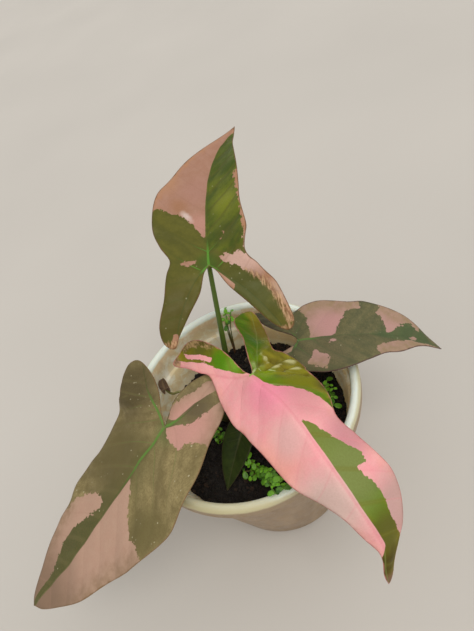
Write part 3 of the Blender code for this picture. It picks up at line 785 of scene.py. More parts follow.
def where_positive(test, yes, no):
    if isinstance(test, Wire):
        mask = test.math("GREATER_THAN", 0.0)
        return mask * yes + (1.0 - mask) * no
    return np.where(test > 0.0, yes, no)


def to_nearest(number):
    """Distance of a number to the nearest whole one."""
    if isinstance(number, Wire):
        return number.math("PINGPONG", 0.5)
    return 0.5 - abs(number - np.floor(number) - 0.5)


def lobe_aim(leaf, side):
    """End of a lobe's rib, a point well inside the lobe's tip."""
    half, sign = leaf[side], (1.0 if side == "right" else -1.0)
    outer, inner = Vector(half["lobe"][-1]), Vector(half["inner"][0])
    aim = outer.lerp(inner, 0.25)
    return Vector((sign * aim.x, aim.y)), sign


def veins(leaf, x, y):
    """Distance to the nearest rib, and to the nearest side vein."""
    step = VEIN_STEP * leaf["length"] / VEIN_LEAF
    lobe_step = step * LOBE_STEP / VEIN_STEP
    ribs, sides = [], []
    for side in ("left", "right"):
        aim, sign = lobe_aim(leaf, side)
        way, reach = aim.normalized(), aim.length
        down = x * way.x + y * way.y
        bow = down * (4.0 * RIB_BOW / reach) * (1.0 - down / reach)
        off = x * way.y - y * way.x + bow * sign
        rib = where_positive(down, abs(off), 99.0)
        number = (down - abs(off) * 0.75) / lobe_step
        ribs.append(rib)
        sides.append(to_nearest(number) * (lobe_step * 0.8))
    main = (y - abs(x) * 0.55 - x * x * 0.012) / step + 0.35
    main_side = to_nearest(main) * (step * 0.85)
    lobe_rib = smaller(ribs[0], ribs[1])
    lobe_side = where_positive(x, sides[1], sides[0])
    ahead = y + abs(x) * 0.25 + 1.0
    return (where_positive(y, smaller(abs(x), lobe_rib), lobe_rib),
            where_positive(ahead, main_side, lobe_side))


rib, side = veins(LEAVES["leaf_front"], flat[:, 0], flat[:, 1])
print("on the coarse blade the ribs come within", round(float(rib.min()), 2), "mm of a point")

# %% [markdown]
# ### Relief of a blade
#
# Ribs lie in a shallow groove and the fields between the side veins stand a little proud, so light
# catches them. The green half of the front leaf is crinkled, because it unrolled last. Sums of sines
# in the angle round the petiole and the distance from it give folds that fan out as real ones do.

# %% Relief of a blade
FIELD_RISE = 0.30       # height of the fields between the side veins
FIELD_EDGE = 2.2        # distance from a side vein where a field has risen
RIB_GROOVE = 0.35       # depth of the groove of a rib
UNEVEN = 0.22           # height of the slow lumps of the whole blade
FULL_SIZE = 60.0        # a shorter blade has a lower relief
CRINKLE = {"leaf_front": (0.9, ((-3, -5), (-8, -14), (-20, -13), (-27, -6), (-24, 6),
                                (-18, 13), (-12, 8), (-4, 2)))}


def crinkles(name, flat):
    """Folds of a blade that has just unrolled, in millimetres."""
    if name not in CRINKLE:
        return np.zeros(len(flat))
    x, y = flat[:, 0], flat[:, 1]
    size, outline = CRINKLE[name]
    turn, reach = np.arctan2(y, -x), np.hypot(x, y)
    folds = (np.sin(13.0 * turn + 0.22 * reach + 0.8 * np.sin(0.5 * reach))
             + 0.5 * np.sin(0.75 * reach + 3.0 * turn) + 0.4 * np.sin(29.0 * turn - 0.5 * reach))
    return size * smoothstep(-2.0, 3.5, patch_distance(flat, [outline])) * folds


def relief(name, leaf, flat):
    """Height over the smooth blade in millimetres."""
    x, y = flat[:, 0], flat[:, 1]
    rib, side = veins(leaf, x, y)
    height = FIELD_RISE * (1.0 - np.exp(-(side / FIELD_EDGE) ** 2)) - RIB_GROOVE * np.exp(-rib ** 2)
    height = height + UNEVEN * np.sin(0.33 * x + 0.21 * y) * np.sin(0.27 * y - 0.12 * x + 1.0)
    return (height + crinkles(name, flat)) * min(1.0, leaf["length"] / FULL_SIZE)


heights = relief("leaf_front", LEAVES["leaf_front"], flat)
print("relief of the front leaf from", round(heights.min(), 2), "to", round(heights.max(), 2), "mm")

# %% [markdown]
# ### Blade meshes
#
# A blade is a thin shell: the same points once more make the underside, where the midrib and the lobe
# ribs stand out as ridges, and a row of quads closes the margin. Solidify would give the shell in one
# step, but not the ridges. Every point also keeps what the finish asks for: its flat place, its
# distances to the margin and to the patches, and the height of the crinkles, so that the creases can
# get painted shade and the crests a painted highlight.

# %% Build a blade
RIDGE = 1.1             # depth of the midrib under the blade, at the petiole


def blade_normals(leaf, flat):
    nudge = 0.4
    place = blade_surface(leaf, flat)
    ahead = blade_surface(leaf, flat + (0.0, nudge)) - place
    aside = blade_surface(leaf, flat + (nudge, 0.0)) - place
    normal = np.cross(aside, ahead)
    return place, normal / np.linalg.norm(normal, axis=1)[:, None]


def patch_place(leaf, flat):
    """Patches keep to the midrib where they touch it, and to a straight axis further out."""
    stray = swerve(leaf, flat[:, 1]) * smoothstep(1.0, 8.0, abs(flat[:, 0]))
    return np.column_stack([flat[:, 0] + stray, flat[:, 1]])


def make_blade(name, leaf, top, under):
    flat, faces, outline = flat_blade(leaf, min(FILL, leaf["length"] / 45.0))
    place, normal = blade_normals(leaf, flat)
    margin = patch_distance(flat, [outline])
    rib, _ = veins(leaf, flat[:, 0], flat[:, 1])
    place = place + normal * (relief(name, leaf, flat) * smoothstep(0.0, 2.0, margin))[:, None]
    half = 0.5 * BLADE * (0.5 + 0.5 * smoothstep(0.0, 1.2, margin))
    slim = np.clip(1.0 - abs(flat[:, 1]) / leaf["length"], 0.15, 1.0) * min(1.0, leaf["length"] / FULL_SIZE)
    ridge = RIDGE * slim * np.exp(-(rib / (0.9 * slim)) ** 2) * smoothstep(0.3, 2.5, margin)
    places = np.vstack([place + normal * half[:, None], place - normal * (half + ridge)[:, None]])
    count = len(flat)
    edges = {(a, b) for face in faces for a, b in zip(face, face[1:] + face[:1])}
    rims = [(b, a, a + count, b + count) for a, b in edges if (b, a) not in edges]
    backs = [tuple(index + count for index in reversed(face)) for face in faces]
    mesh = bpy.data.meshes.new(name)
    mesh.from_pydata([tuple(point * MM) for point in places], [], faces + backs + rims)
    sides = np.zeros(len(mesh.polygons), int)
    sides[len(faces):len(faces) + len(backs)] = 1
    mesh.polygons.foreach_set("material_index", sides)
    drawn = patch_place(leaf, flat)
    pink = patch_distance(drawn, PINK.get(name, ()))
    if name == "leaf_front":
        stripe = 2.5 * patch_distance(drawn, STRIPE_ON_GREEN)
        pink = np.maximum(-patch_distance(drawn, GREEN_ON_PINK), stripe)
    values = {"pink": pink, "fresh": patch_distance(drawn, FRESH.get(name, ())),
              "brown": patch_distance(drawn, BROWN.get(name, ())), "margin": margin,
              "fold": crinkles(name, flat)}
    for label, numbers in values.items():
        both = np.tile(numbers, 2).astype("f")
        mesh.attributes.new(label, "FLOAT", "POINT").data.foreach_set("value", both)
    leaf_place = np.tile(np.column_stack([flat, np.zeros(count)]), (2, 1)).ravel().astype("f")
    mesh.attributes.new("flat", "FLOAT_VECTOR", "POINT").data.foreach_set("vector", leaf_place)
    mesh.materials.append(top)
    mesh.materials.append(under)
    return new_object(name + "_blade", mesh)


print("blade points lie", FILL, "mm apart")

# %% [markdown]
# ### Leaf colours
#
# Each leaf has its own set of colours and strengths. The older leaves are olive and tan and rather dull;
# the front leaf has just unrolled and is glossy, fresh green and clear pink. A set names only what
# differs from the olive one. Colours are linear red, green and blue, as the shader takes them.

# %% Leaf colours
OLIVE_TONES = dict(
    gloss=0.50, sheen=0.20,         # roughness and strength of the highlight
    pink_rough=0.06, dull=0.0,      # roughness added on the pink, and towards the tip
    jag=1.0,                        # how far the border of a patch steps to and fro
    fade=5.0,                       # width of the tan margin of a pink field
    grain=1.2,                      # closeness of the streaks in dried parts
    glow=12.0, lean=0.0,            # reach of the bright veins, and its pull to one side
    twig=0.4, twig_near=1.2,        # side veins, far from the petiole and what is added near it
    specks=0.4, quilt=0.3, grit=0.14,   # pale freckles, shade beside side veins, fine dark grain
    # The crease and ridge colours are painted shade in the creases of crinkles and a painted highlight on
    # their crests.
    shade=(0.070, 0.060, 0.018), crease_shade=(0.11, 0.085, 0.010), ridge=(0.20, 0.20, 0.05),
    olive=(0.150, 0.135, 0.030), olive_deep=(0.095, 0.090, 0.018),
    fresh=(0.13, 0.16, 0.025), fresh_deep=(0.070, 0.100, 0.015),
    vein=(0.10, 0.27, 0.03), rib_far=(0.055, 0.075, 0.016), freckle=(0.55, 0.50, 0.33),
    pink=(0.56, 0.27, 0.235), pink_pale=(0.60, 0.36, 0.30), pink_edge=(0.43, 0.245, 0.155),
    pink_vein=(0.40, 0.18, 0.15), edge=(0.17, 0.085, 0.040), under=(0.30, 0.29, 0.17),
    brown=(0.20, 0.095, 0.035), brown_pale=(0.55, 0.34, 0.19))
TONES = {
    "leaf_back": dict(
        glow=15.0, fade=3.5, gloss=0.46, sheen=0.14, twig_near=2.6, quilt=0.45,
        olive=(0.122, 0.115, 0.018), olive_deep=(0.086, 0.085, 0.013),
        fresh=(0.125, 0.150, 0.012), fresh_deep=(0.055, 0.086, 0.009), pink_vein=(0.29, 0.15, 0.10),
        pink=(0.36, 0.186, 0.124), pink_pale=(0.42, 0.240, 0.176), pink_edge=(0.41, 0.205, 0.112)),
    "leaf_right": dict(
        gloss=0.62, sheen=0.25, fade=12.0, specks=0.5, grit=0.45, quilt=0.45,
        shade=(0.062, 0.060, 0.028), olive=(0.160, 0.140, 0.058), olive_deep=(0.092, 0.094, 0.040),
        fresh=(0.085, 0.118, 0.040), fresh_deep=(0.066, 0.098, 0.034),
        pink=(0.44, 0.245, 0.212), pink_pale=(0.44, 0.27, 0.225), pink_edge=(0.29, 0.200, 0.108),
        pink_vein=(0.36, 0.20, 0.20), vein=(0.10, 0.19, 0.04), rib_far=(0.060, 0.090, 0.030),
        edge=(0.10, 0.045, 0.045)),
    "leaf_left": dict(
        gloss=0.62, sheen=0.22, glow=36.0, lean=0.6, fade=9.0, specks=0.65, grit=0.4, quilt=0.22,
        twig=0.25, twig_near=0.7, shade=(0.120, 0.080, 0.030),
        olive=(0.315, 0.250, 0.110), olive_deep=(0.185, 0.145, 0.058),
        fresh=(0.095, 0.096, 0.028), fresh_deep=(0.078, 0.080, 0.022),
        pink=(0.45, 0.275, 0.200), pink_pale=(0.47, 0.31, 0.225), pink_edge=(0.30, 0.190, 0.118),
        pink_vein=(0.36, 0.21, 0.15), vein=(0.10, 0.22, 0.035), edge=(0.22, 0.13, 0.06)),
    "leaf_front": dict(
        gloss=0.27, sheen=0.07, jag=0.6, grain=0.5, pink_rough=0.2, dull=0.25, twig_near=2.6,
        # The ridge colour is a whitish painted highlight on the crests of the crinkles.
        specks=0.0, glow=18.0, grit=0.10, ridge=(0.62, 0.60, 0.30),
        olive=(0.280, 0.240, 0.018), olive_deep=(0.165, 0.145, 0.010),
        fresh=(0.120, 0.220, 0.004), fresh_deep=(0.060, 0.140, 0.003),
        pink=(0.89, 0.36, 0.385), pink_pale=(0.86, 0.46, 0.44), pink_edge=(0.87, 0.39, 0.36),
        pink_vein=(0.74, 0.24, 0.28), vein=(0.50, 0.60, 0.26), rib_far=(0.24, 0.28, 0.08),
        edge=(0.62, 0.22, 0.20), brown=(0.09, 0.065, 0.015), brown_pale=(0.46, 0.29, 0.14),
        under=(0.62, 0.30, 0.28)),
    "leaf_low": dict(
        gloss=0.4, olive=(0.045, 0.072, 0.014), olive_deep=(0.022, 0.038, 0.008),
        vein=(0.10, 0.12, 0.04), rib_far=(0.09, 0.085, 0.04), twig=0.15, specks=0.0,
        edge=(0.07, 0.060, 0.030)),
    "leaf_withered": dict(
        gloss=0.6, olive=(0.14, 0.085, 0.05), olive_deep=(0.07, 0.04, 0.025),
        vein=(0.20, 0.13, 0.07), rib_far=(0.12, 0.07, 0.04), specks=0.0),
}
print("the olive set has", len(OLIVE_TONES), "values")

# %% [markdown]
# ### Soft tints
#
# No field on a living leaf is even: light comes through from behind in one place, and another is older
# or dustier. A few large soft spots, as from an airbrush, do this. Some spots are painted light: a soft
# glint and a bright edge on the back leaf are painted highlights, and the right leaf's left lobe has a
# painted shadow of the back leaf. Each has its place in flat leaf coordinates, its radius, its colour
# and its share. They are laid one over the other in this order.

# %% Tints
LEAF_TINTS = {
    "leaf_back": (
        ((4.0, 56.0), 18.0, (0.056, 0.088, 0.008), 0.55), ((1.5, 30.0), 11.0, (0.060, 0.095, 0.010), 0.6),
        ((9.0, 28.0), 10.0, (0.215, 0.240, 0.018), 0.75), ((10.0, 12.0), 9.0, (0.065, 0.075, 0.012), 0.7),
        ((-14.0, -16.0), 18.0, (0.095, 0.080, 0.018), 0.8), ((0.0, 1.0), 7.0, (0.050, 0.110, 0.012), 0.7),
        ((13.0, -12.0), 15.0, (0.085, 0.092, 0.022), 0.9)),
    "leaf_right": (
        ((10.0, 10.0), 14.0, (0.150, 0.122, 0.058), 0.7),
        # A painted shadow: the back leaf's lobe shades this leaf's left lobe.
        ((-20.0, -13.0), 19.0, (0.045, 0.038, 0.018), 0.95)),
    "leaf_left": (
        ((4.0, 20.0), 22.0, (0.135, 0.125, 0.040), 0.6),
        ((25.0, -10.0), 25.0, (0.066, 0.052, 0.019), 0.90),
        ((13.0, 24.0), 24.0, (0.115, 0.094, 0.033), 0.9),
        ((-22.0, 29.0), 14.0, (0.135, 0.112, 0.038), 0.9),
        ((-9.0, -11.0), 12.0, (0.105, 0.082, 0.044), 0.9), ((-3.0, 0.0), 9.0, (0.070, 0.115, 0.026), 0.7)),
    "leaf_front": (
        ((-4.0, 32.0), 14.0, (0.175, 0.205, 0.036), 0.95),
        ((-6.0, 50.0), 22.0, (0.205, 0.248, 0.072), 0.97),
        ((-4.0, 73.0), 12.0, (0.118, 0.115, 0.020), 0.95), ((1.5, 90.0), 4.0, (0.150, 0.085, 0.018), 0.8),
        ((-1.0, 84.0), 9.0, (0.075, 0.056, 0.008), 0.95), ((-0.5, 94.0), 6.0, (0.22, 0.115, 0.068), 0.95),
        ((-5.0, 1.5), 6.5, (0.200, 0.300, 0.006), 0.9), ((-5.5, -5.5), 3.8, (0.34, 0.44, 0.13), 0.85),
        ((-13.0, 12.0), 11.0, (0.175, 0.178, 0.008), 0.9), ((-20.0, 19.0), 6.0, (0.075, 0.065, 0.015), 0.8),
        ((-13.0, -20.0), 12.0, (0.050, 0.130, 0.002), 0.97),
        ((-24.0, -25.0), 9.0, (0.175, 0.130, 0.012), 0.9),
        ((5.0, -14.0), 12.0, (0.088, 0.235, 0.005), 0.97), ((8.0, -29.0), 9.0, (0.100, 0.100, 0.012), 0.9),
        ((2.0, -11.0), 6.0, (0.200, 0.380, 0.035), 0.8)),
}
PINK_TINTS = {
    "leaf_back": (
        # The first four spots are a painted highlight: a soft whitish glint along the border of the green.
        ((-10.0, 26.6), 1.9, (0.78, 0.66, 0.61), 0.45), ((-8.7, 25.1), 2.1, (0.80, 0.70, 0.66), 0.5),
        ((-7.4, 23.6), 2.1, (0.80, 0.70, 0.66), 0.5), ((-6.2, 22.0), 1.6, (0.78, 0.66, 0.61), 0.4),
        ((-11.5, 30.0), 6.0, (0.33, 0.155, 0.075), 0.6), ((-2.5, 20.0), 9.0, (0.50, 0.250, 0.20), 0.7),
        # The spot at (25, -15) is a painted highlight along the edge of the right lobe's pink.
        ((25.0, -15.0), 8.0, (0.50, 0.34, 0.25), 0.7), ((13.0, -1.0), 12.0, (0.60, 0.385, 0.315), 0.95),
        ((-20.0, 42.0), 10.0, (0.44, 0.225, 0.120), 0.6), ((-4.0, 38.0), 12.0, (0.39, 0.200, 0.155), 0.6)),
    "leaf_right": (((-6.0, 16.0), 11.0, (0.50, 0.250, 0.24), 0.6),),
    "leaf_left": (
        ((-9.0, -3.0), 15.0, (0.54, 0.275, 0.230), 0.9), ((-2.0, 82.0), 30.0, (0.215, 0.136, 0.088), 0.85)),
    "leaf_front": (
        ((-2.0, 12.0), 17.0, (0.84, 0.23, 0.36), 0.65), ((16.0, 34.0), 16.0, (0.84, 0.37, 0.29), 0.60),
        ((7.0, 30.0), 11.0, (0.78, 0.46, 0.44), 0.8), ((-8.0, 22.0), 12.0, (0.63, 0.27, 0.28), 0.7),
        ((8.0, 56.0), 18.0, (0.66, 0.50, 0.44), 0.85), ((-14.0, 40.0), 14.0, (0.52, 0.22, 0.25), 0.75),
        ((-14.0, 70.0), 18.0, (0.49, 0.32, 0.29), 0.85)),
}
print("tints:", sum(len(spots) for spots in (*LEAF_TINTS.values(), *PINK_TINTS.values())))

# %% [markdown]
# ### Where a finish is on the leaf
#
# Every part of the leaf's finish asks the same questions: how far it is from a rib, a side vein, the
# margin and the petiole. The answers are worked out once, from the flat coordinates on the points and
# the vein rule, together with noises of several sizes that keep any edge or tone from being even.


# %% Leaf coordinates
class LeafFinish(Finish):
    """A finish that knows where on the leaf it is."""

    def __init__(self, name, leaf, tones):
        super().__init__(name, tones["gloss"], Specular_IOR_Level=tones["sheen"])
        self.tones = tones
        self.flat = self.attribute("flat", "Vector")
        self.x, self.y, _ = self.axes(self.flat)
        self.rib, self.side = veins(leaf, self.x, self.y)
        self.margin = self.attribute("margin")
        self.reach = (self.x * self.x + self.y * self.y) ** 0.5
        self.broad = self.noise(self.flat, 0.07, 3.0)
        self.mottle = self.noise(self.flat, 0.30, 4.0, 0.6)
        self.fine = self.noise(self.flat, 1.6, 3.0)
        slant = self.vector(self.x * 0.06, (self.y - abs(self.x) * 0.7) * 0.14, 0.0)
        self.bands = self.noise(slant, 1.0, 3.0, 0.5)

    def over(self, mask, colour, tone):
        """One of the leaf's own tones over a colour, where the mask says so."""
        return self.mix(mask, colour, self.tones[tone])

    def tinted(self, colour, tints):
        """Soft round spots of other colours, one over the other."""
        for (x, y), size, tint, share in tints:
            across, along = self.x - x, self.y - y
            away = (across * across + along * along) ** 0.5
            colour = self.mix(self.ramp(away, size, size * 0.2, 0.0, share), colour, tint)
        return colour


print("leaf coordinates ready")

# %% [markdown]
# ### Veins in the finish
#
# The ribs are bright green where they meet at the petiole and sink into the blade further out. A number
# that is one near the petiole and falls to nothing widens them, brightens them and brings out the side
# veins. It reaches further along the blade than into the lobes.

# %% Vein masks
RIB_WIDTH = 0.24


def vein_masks(leaf):
    """How near the petiole is, and how strongly the ribs and the side veins show."""
    tones = leaf.tones
    pull = smaller(leaf.y + leaf.x * tones["lean"], 0.0) * 2.0
    near = leaf.ramp(leaf.reach - pull, tones["glow"], tones["glow"] * 0.35)
    width = RIB_WIDTH + near * RIB_WIDTH
    vein = leaf.ramp(leaf.rib / width, 0.6, 1.6, 0.9, 0.0) * (0.45 + near * 0.55)
    twig = leaf.ramp(leaf.side, 0.08, 0.40, 0.25, 0.0) * leaf.ramp(leaf.margin, 0.5, 3.0)
    return near, vein, twig * (tones["twig"] + near * tones["twig_near"])


print("a rib is drawn", RIB_WIDTH, "mm wide, and twice as wide at the petiole")

# %% [markdown]
# ### Green parts
#
# The green is olive, mottled in slanting bands, and clears to fresh green along the midrib. Tints, a
# fine dark grain and painted shade beside the side veins go over it. The creases of the crinkled half
# get painted shade and its crests a painted highlight. The veins lie on top, and last come a few pale
# freckles in groups.


# %% Green of a leaf
def green_colour(leaf, calm, near, vein_share):
    tones, mottle, bands = leaf.tones, leaf.mottle, leaf.bands
    olive = leaf.over(leaf.ramp(bands * 0.6 + mottle * 0.4, 0.38, 0.62), tones["olive"], "olive_deep")
    green = leaf.over(leaf.ramp(bands * 0.75 + mottle * 0.25, 0.40, 0.60), tones["fresh"], "fresh_deep")
    fresh = leaf.ramp(leaf.attribute("fresh") + (mottle - 0.5) * 5.0 * calm, -1.5, 1.5)
    colour = leaf.tinted(leaf.mix(fresh, olive, green), tones["leaf_tints"])
    colour = leaf.over(leaf.ramp(leaf.fine, 0.35, 0.7, 0.0, tones["grit"]), colour, "shade")
    fold = leaf.attribute("fold")
    # Painted shade in the creases of the crinkles, and a painted highlight on their crests.
    colour = leaf.over(leaf.ramp(fold, -0.3, -1.0, 0.0, 0.6), colour, "crease_shade")
    colour = leaf.over(leaf.ramp(fold, 0.60, 1.30, 0.0, 0.7), colour, "ridge")
    colour = leaf.over(leaf.ramp(leaf.side, 0.2, 1.3, tones["quilt"], 0.0), colour, "olive_deep")
    colour = leaf.mix(vein_share, colour, leaf.over(near, tones["rib_far"], "vein"))
    speck = leaf.ramp(leaf.cells(leaf.flat, 0.38), 0.13, 0.08) * leaf.ramp(leaf.broad, 0.46, 0.56)
    return leaf.over(speck * tones["specks"], colour, "freckle")


print("green helper ready")

# %% [markdown]
# ### Pink parts
#
# Pink fields have lost their green. They fade to tan towards the margin, are paler in soft clouds, and
# their veins are a deeper rose.


# %% Pink of a leaf
def pink_colour(leaf):
    edge = leaf.ramp(leaf.margin + (leaf.mottle - 0.5) * 5.0, 0.5, leaf.tones["fade"])
    colour = leaf.over(edge, leaf.tones["pink_edge"], "pink")
    colour = leaf.over(leaf.ramp(leaf.mottle, 0.3, 0.7, 0.0, 0.5), colour, "pink_pale")
    colour = leaf.tinted(colour, leaf.tones["pink_tints"])
    colour = leaf.over(leaf.ramp(leaf.side, 0.1, 0.6, 0.18, 0.0), colour, "pink_vein")
    return leaf.over(leaf.ramp(leaf.rib, 0.2, 0.8, 0.30, 0.0), colour, "pink_vein")


print("pink helper ready")

# %% [markdown]
# ### Dried parts and the margin
#
# Where a leaf has dried it is papery brown, streaked along its length. The margin wears first, so a
# thin darker line runs round the blade, and a very fine grain goes over everything.


# %% Wear of a leaf
def worn_colour(leaf, colour):
    stretched = leaf.vector(leaf.x * leaf.tones["grain"], leaf.y * 0.25, 0.0)
    streaks = leaf.noise(stretched, 1.0, 4.0, 0.7)
    singe = leaf.ramp(leaf.attribute("brown") + (streaks - 0.5) * 5.0, -0.8, 0.8)
    papery = leaf.over(leaf.ramp(streaks, 0.42, 0.60), leaf.tones["brown"], "brown_pale")
    colour = leaf.mix(singe * 0.85, colour, papery)
    worn = leaf.ramp(leaf.margin + (leaf.mottle - 0.5) * 1.2, 0.45, 0.05, 0.0, 0.8)
    colour = leaf.over(worn, colour, "edge")
    return leaf.over(leaf.ramp(leaf.fine, 0.35, 0.7, 0.0, 0.08), colour, "olive_deep")


print("wear helper ready")

# %% [markdown]
# ### Leaf finish
#
# The border between green and pink steps along tiny cells, so a random number for each cell shifts it
# to and fro, less so along the ribs. The upper side is satin with a broad soft highlight; the underside
# is the same drawing, paler and duller. A low quilted bump follows the cells and the veins.


# %% Leaf finish
def leaf_finish(name, leaf, tones, under=False):
    finish = LeafFinish(name, leaf, tones)
    mottle, gloss = finish.mottle, tones["gloss"]
    calm = finish.ramp(finish.rib, 0.8, 4.0, 0.05, 1.0)
    jag = (finish.draw(finish.flat, 0.8) - 0.5 + (mottle - 0.5) * 2.0) * tones["jag"]
    pink = finish.ramp(finish.attribute("pink") + jag * calm, -0.12, 0.12)
    near, vein, twig = vein_masks(finish)
    green = green_colour(finish, calm, near, smaller(vein + twig, 1.0))
    colour = worn_colour(finish, finish.mix(pink, green, pink_colour(finish)))
    if under:
        colour = finish.over(0.45, colour, "under")
        rough = finish.ramp(mottle, 0.3, 0.7, 0.5, 0.7)
    else:
        wet = finish.ramp(mottle, 0.3, 0.7, gloss - 0.05, gloss + 0.07)
        dry = finish.ramp(finish.reach, 26.0, 40.0, 0.0, tones["dull"])
        rough = wet + smaller(pink * tones["pink_rough"] + dry, 0.25)
    finish.into(Base_Color=colour, Roughness=rough)
    cells = finish.cells(finish.flat, 0.8, "SMOOTH_F1")
    relief_height = cells * 0.6 + finish.fine * 0.35 + twig * -1.2 - vein * 0.8
    finish.into(Normal=finish.bump(relief_height, 0.00020, 0.6))
    return finish.material


print("leaf finish ready")

# %% Blades with their finish
SLOTS = {"leaf_back": "leaf_olive", "leaf_right": "leaf_olive", "leaf_left": "leaf_olive",
         "leaf_front": "leaf_pink", "leaf_low": "leaf_dark", "leaf_withered": "leaf_brown"}
for name, leaf in LEAVES.items():
    tones = {**OLIVE_TONES, **TONES[name], "leaf_tints": LEAF_TINTS.get(name, ()),
             "pink_tints": PINK_TINTS.get(name, ())}
    top = leaf_finish(name + "_top", leaf, tones)
    under = leaf_finish(name + "_underside", leaf, tones, under=True)
    print(top.name, "has", len(top.node_tree.nodes), "shader nodes")
    dress(make_blade(name, leaf, top, under), SLOTS[name], name)

# %% [markdown]
# ## Petioles and stem
#
# A petiole is a tapering stalk with a groove along its upper side, widest at the sheath where it
# clasps the stem. It follows a path, so a Geometry Nodes tree sweeps a grooved section along a curve
# and lets the radius fall along it.

# %% Petiole tree
stalk = Growth("stalk", Foot_Radius=0.002, Top_Radius=0.001, Taper=1.5, Groove=0.15, Sides=16,
               Material="")
along = stalk.add("GeometryNodeSplineParameter")
fall = stalk.maths("POWER", stalk.maths("SUBTRACT", 1.0, along), stalk.given("Taper"))
spread = stalk.maths("SUBTRACT", stalk.given("Foot_Radius"), stalk.given("Top_Radius"))
radius = stalk.maths("ADD", stalk.maths("MULTIPLY", fall, spread), stalk.given("Top_Radius"))
circle = stalk.add("GeometryNodeCurvePrimitiveCircle", None,
                   {"Resolution": stalk.given("Sides"), "Radius": 1.0})
point = stalk.add("GeometryNodeInputPosition")
dent = stalk.maths("POWER", stalk.maths("MAXIMUM", stalk.axis(point, 1), 0.0), 6.0)
keep = stalk.maths("SUBTRACT", 1.0, stalk.maths("MULTIPLY", dent, stalk.given("Groove")))
grooved = stalk.add("ShaderNodeVectorMath", {"operation": "SCALE"}, {0: point, "Scale": keep})
section = stalk.add("GeometryNodeSetPosition", None, {"Geometry": circle, "Position": grooved})
stalk.finish(stalk.add("GeometryNodeCurveToMesh", None, {
    "Curve": stalk.given("Geometry"), "Profile Curve": section, "Scale": radius, "Fill Caps": True}))
print("stalk tree:", len(stalk.group.nodes), "nodes")

# %% [markdown]
# The path starts under the soil, leaves it upright, passes the point on its way and bends up into the
# blade over a short neck.


# %% Petiole paths
def petiole_path(leaf):
    """From the soil, out on one sweep and with a bend up into the blade."""
    point, _, normal = midline(leaf, np.array([0.6]))
    top = Vector(point[0])
    arriving = (Vector(leaf["via"]) - top).normalized()
    below = top + (arriving - Vector(normal[0])).normalized() * min(NECK, 0.4 * leaf["length"])
    foot = Vector((*leaf["foot"], SOIL_TOP - ROOT_DEPTH))
    collar = Vector((*leaf["foot"], SOIL_TOP + 3.0))
    return [foot] + smooth_line([collar, Vector(leaf["via"]), below, top], 1.2)


print("the front petiole is drawn through", len(petiole_path(LEAVES["leaf_front"])), "points")

# %% [markdown]
# A stalk is streaked along its length and paler towards the blade, with a brownish blush at the foot.
# The streaks are a noise that changes fast round the stalk and slowly along it.


# %% Stalk finish
def stalk_finish(name, low, high, blush, heights):
    """Streaked green that is paler towards the blade, with a blush at the foot."""
    finish = Finish(name, 0.38)
    where = finish.place()
    x, y, z = finish.axes(where)
    streaks = finish.noise(finish.vector(x * 1.5, y * 1.5, z * 0.12), 1.0, 3.0)
    rise = finish.ramp(z, *heights)
    colour = finish.mix(rise, low, high)
    colour = finish.mix(finish.ramp(streaks, 0.4, 0.7, 0.0, 0.4), colour, high)
    colour = finish.mix(finish.ramp(z + (streaks - 0.5) * 8.0, 63.0, 55.0, 0.0, 0.75), colour, blush)
    finish.into(Base_Color=colour, Roughness=finish.ramp(streaks, 0.3, 0.7, 0.3, 0.45))
    finish.into(Normal=finish.bump(streaks, 0.0003, 0.5))
    return finish.material


BLUSH = (0.13, 0.06, 0.035)
print("stalk finish ready")

# %% Petioles
GREENS = {
    "leaf_back": ((0.028, 0.048, 0.006), (0.078, 0.135, 0.010)),
    "leaf_right": ((0.07, 0.11, 0.03), (0.10, 0.15, 0.04)),
    "leaf_left": ((0.09, 0.11, 0.03), (0.13, 0.16, 0.04)),
    "leaf_front": ((0.12, 0.22, 0.03), (0.25, 0.42, 0.06)),
    "leaf_low": ((0.06, 0.09, 0.02), (0.10, 0.13, 0.05)),
    "leaf_withered": ((0.24, 0.28, 0.06), (0.24, 0.22, 0.07)),
}
for name, leaf in LEAVES.items():
    wide, slim = leaf["thick"]
    stalk_green = stalk_finish(name + "_petiole_green", *GREENS[name], BLUSH, (60.0, leaf["base"][2]))
    petiole = stalk.grow(poly_curves(name, [petiole_path(leaf)]), name + "_petiole", Foot_Radius=wide * MM,
                         Top_Radius=slim * MM, Material=stalk_green)
    dress(petiole, SLOTS[name])

# %% [markdown]
# The short stem between the petioles is the same sweep with a blunt top.

# %% Stem
STEM_FOOT = (-5.0, 6.0)
STEM_TOP = 63.0
STEM_RADIUS = 3.2
STEM_TOP_RADIUS = 1.2
stem_line = [(*STEM_FOOT, height) for height in np.linspace(SOIL_TOP - ROOT_DEPTH, STEM_TOP, 14)]
stem_green = stalk_finish("stem_green", (0.09, 0.13, 0.03), (0.12, 0.20, 0.04), BLUSH, (52.0, STEM_TOP))
stem = stalk.grow(poly_curves("stem", [stem_line]), "stem_core", Foot_Radius=STEM_RADIUS * MM,
                  Top_Radius=STEM_TOP_RADIUS * MM, Taper=0.7, Groove=0.0, Sides=24, Material=stem_green)
dress(stem, "stem_green", "stem")

# %% [markdown]
# ## Pot
#
# The pot is injection moulded: thin walls with draft, a ledge inside to stack on, a rim band and a
# rolled lip. A profile turned round the axis by the Screw modifier gives it, and Booleans cut the
# drain holes. Its sizes are those of the CAD pot, with finer steps and rounded corners.

# %% Turned shapes
POT_HEIGHT = 80.0
BASE_RADIUS = 34.0
WALL_TOP_RADIUS = 47.2
RIM_RADIUS = 50.0
RIM_BAND = 6.0
LIP_ROUND = 2.0
FLOOR_HEIGHT = 3.0
LEDGE_HEIGHT = 67.0
LEDGE_RADIUS = 43.8
THROAT_RADIUS = 45.6
FLOOR_RADIUS = 32.2
FOOT_ROUND = 2.2


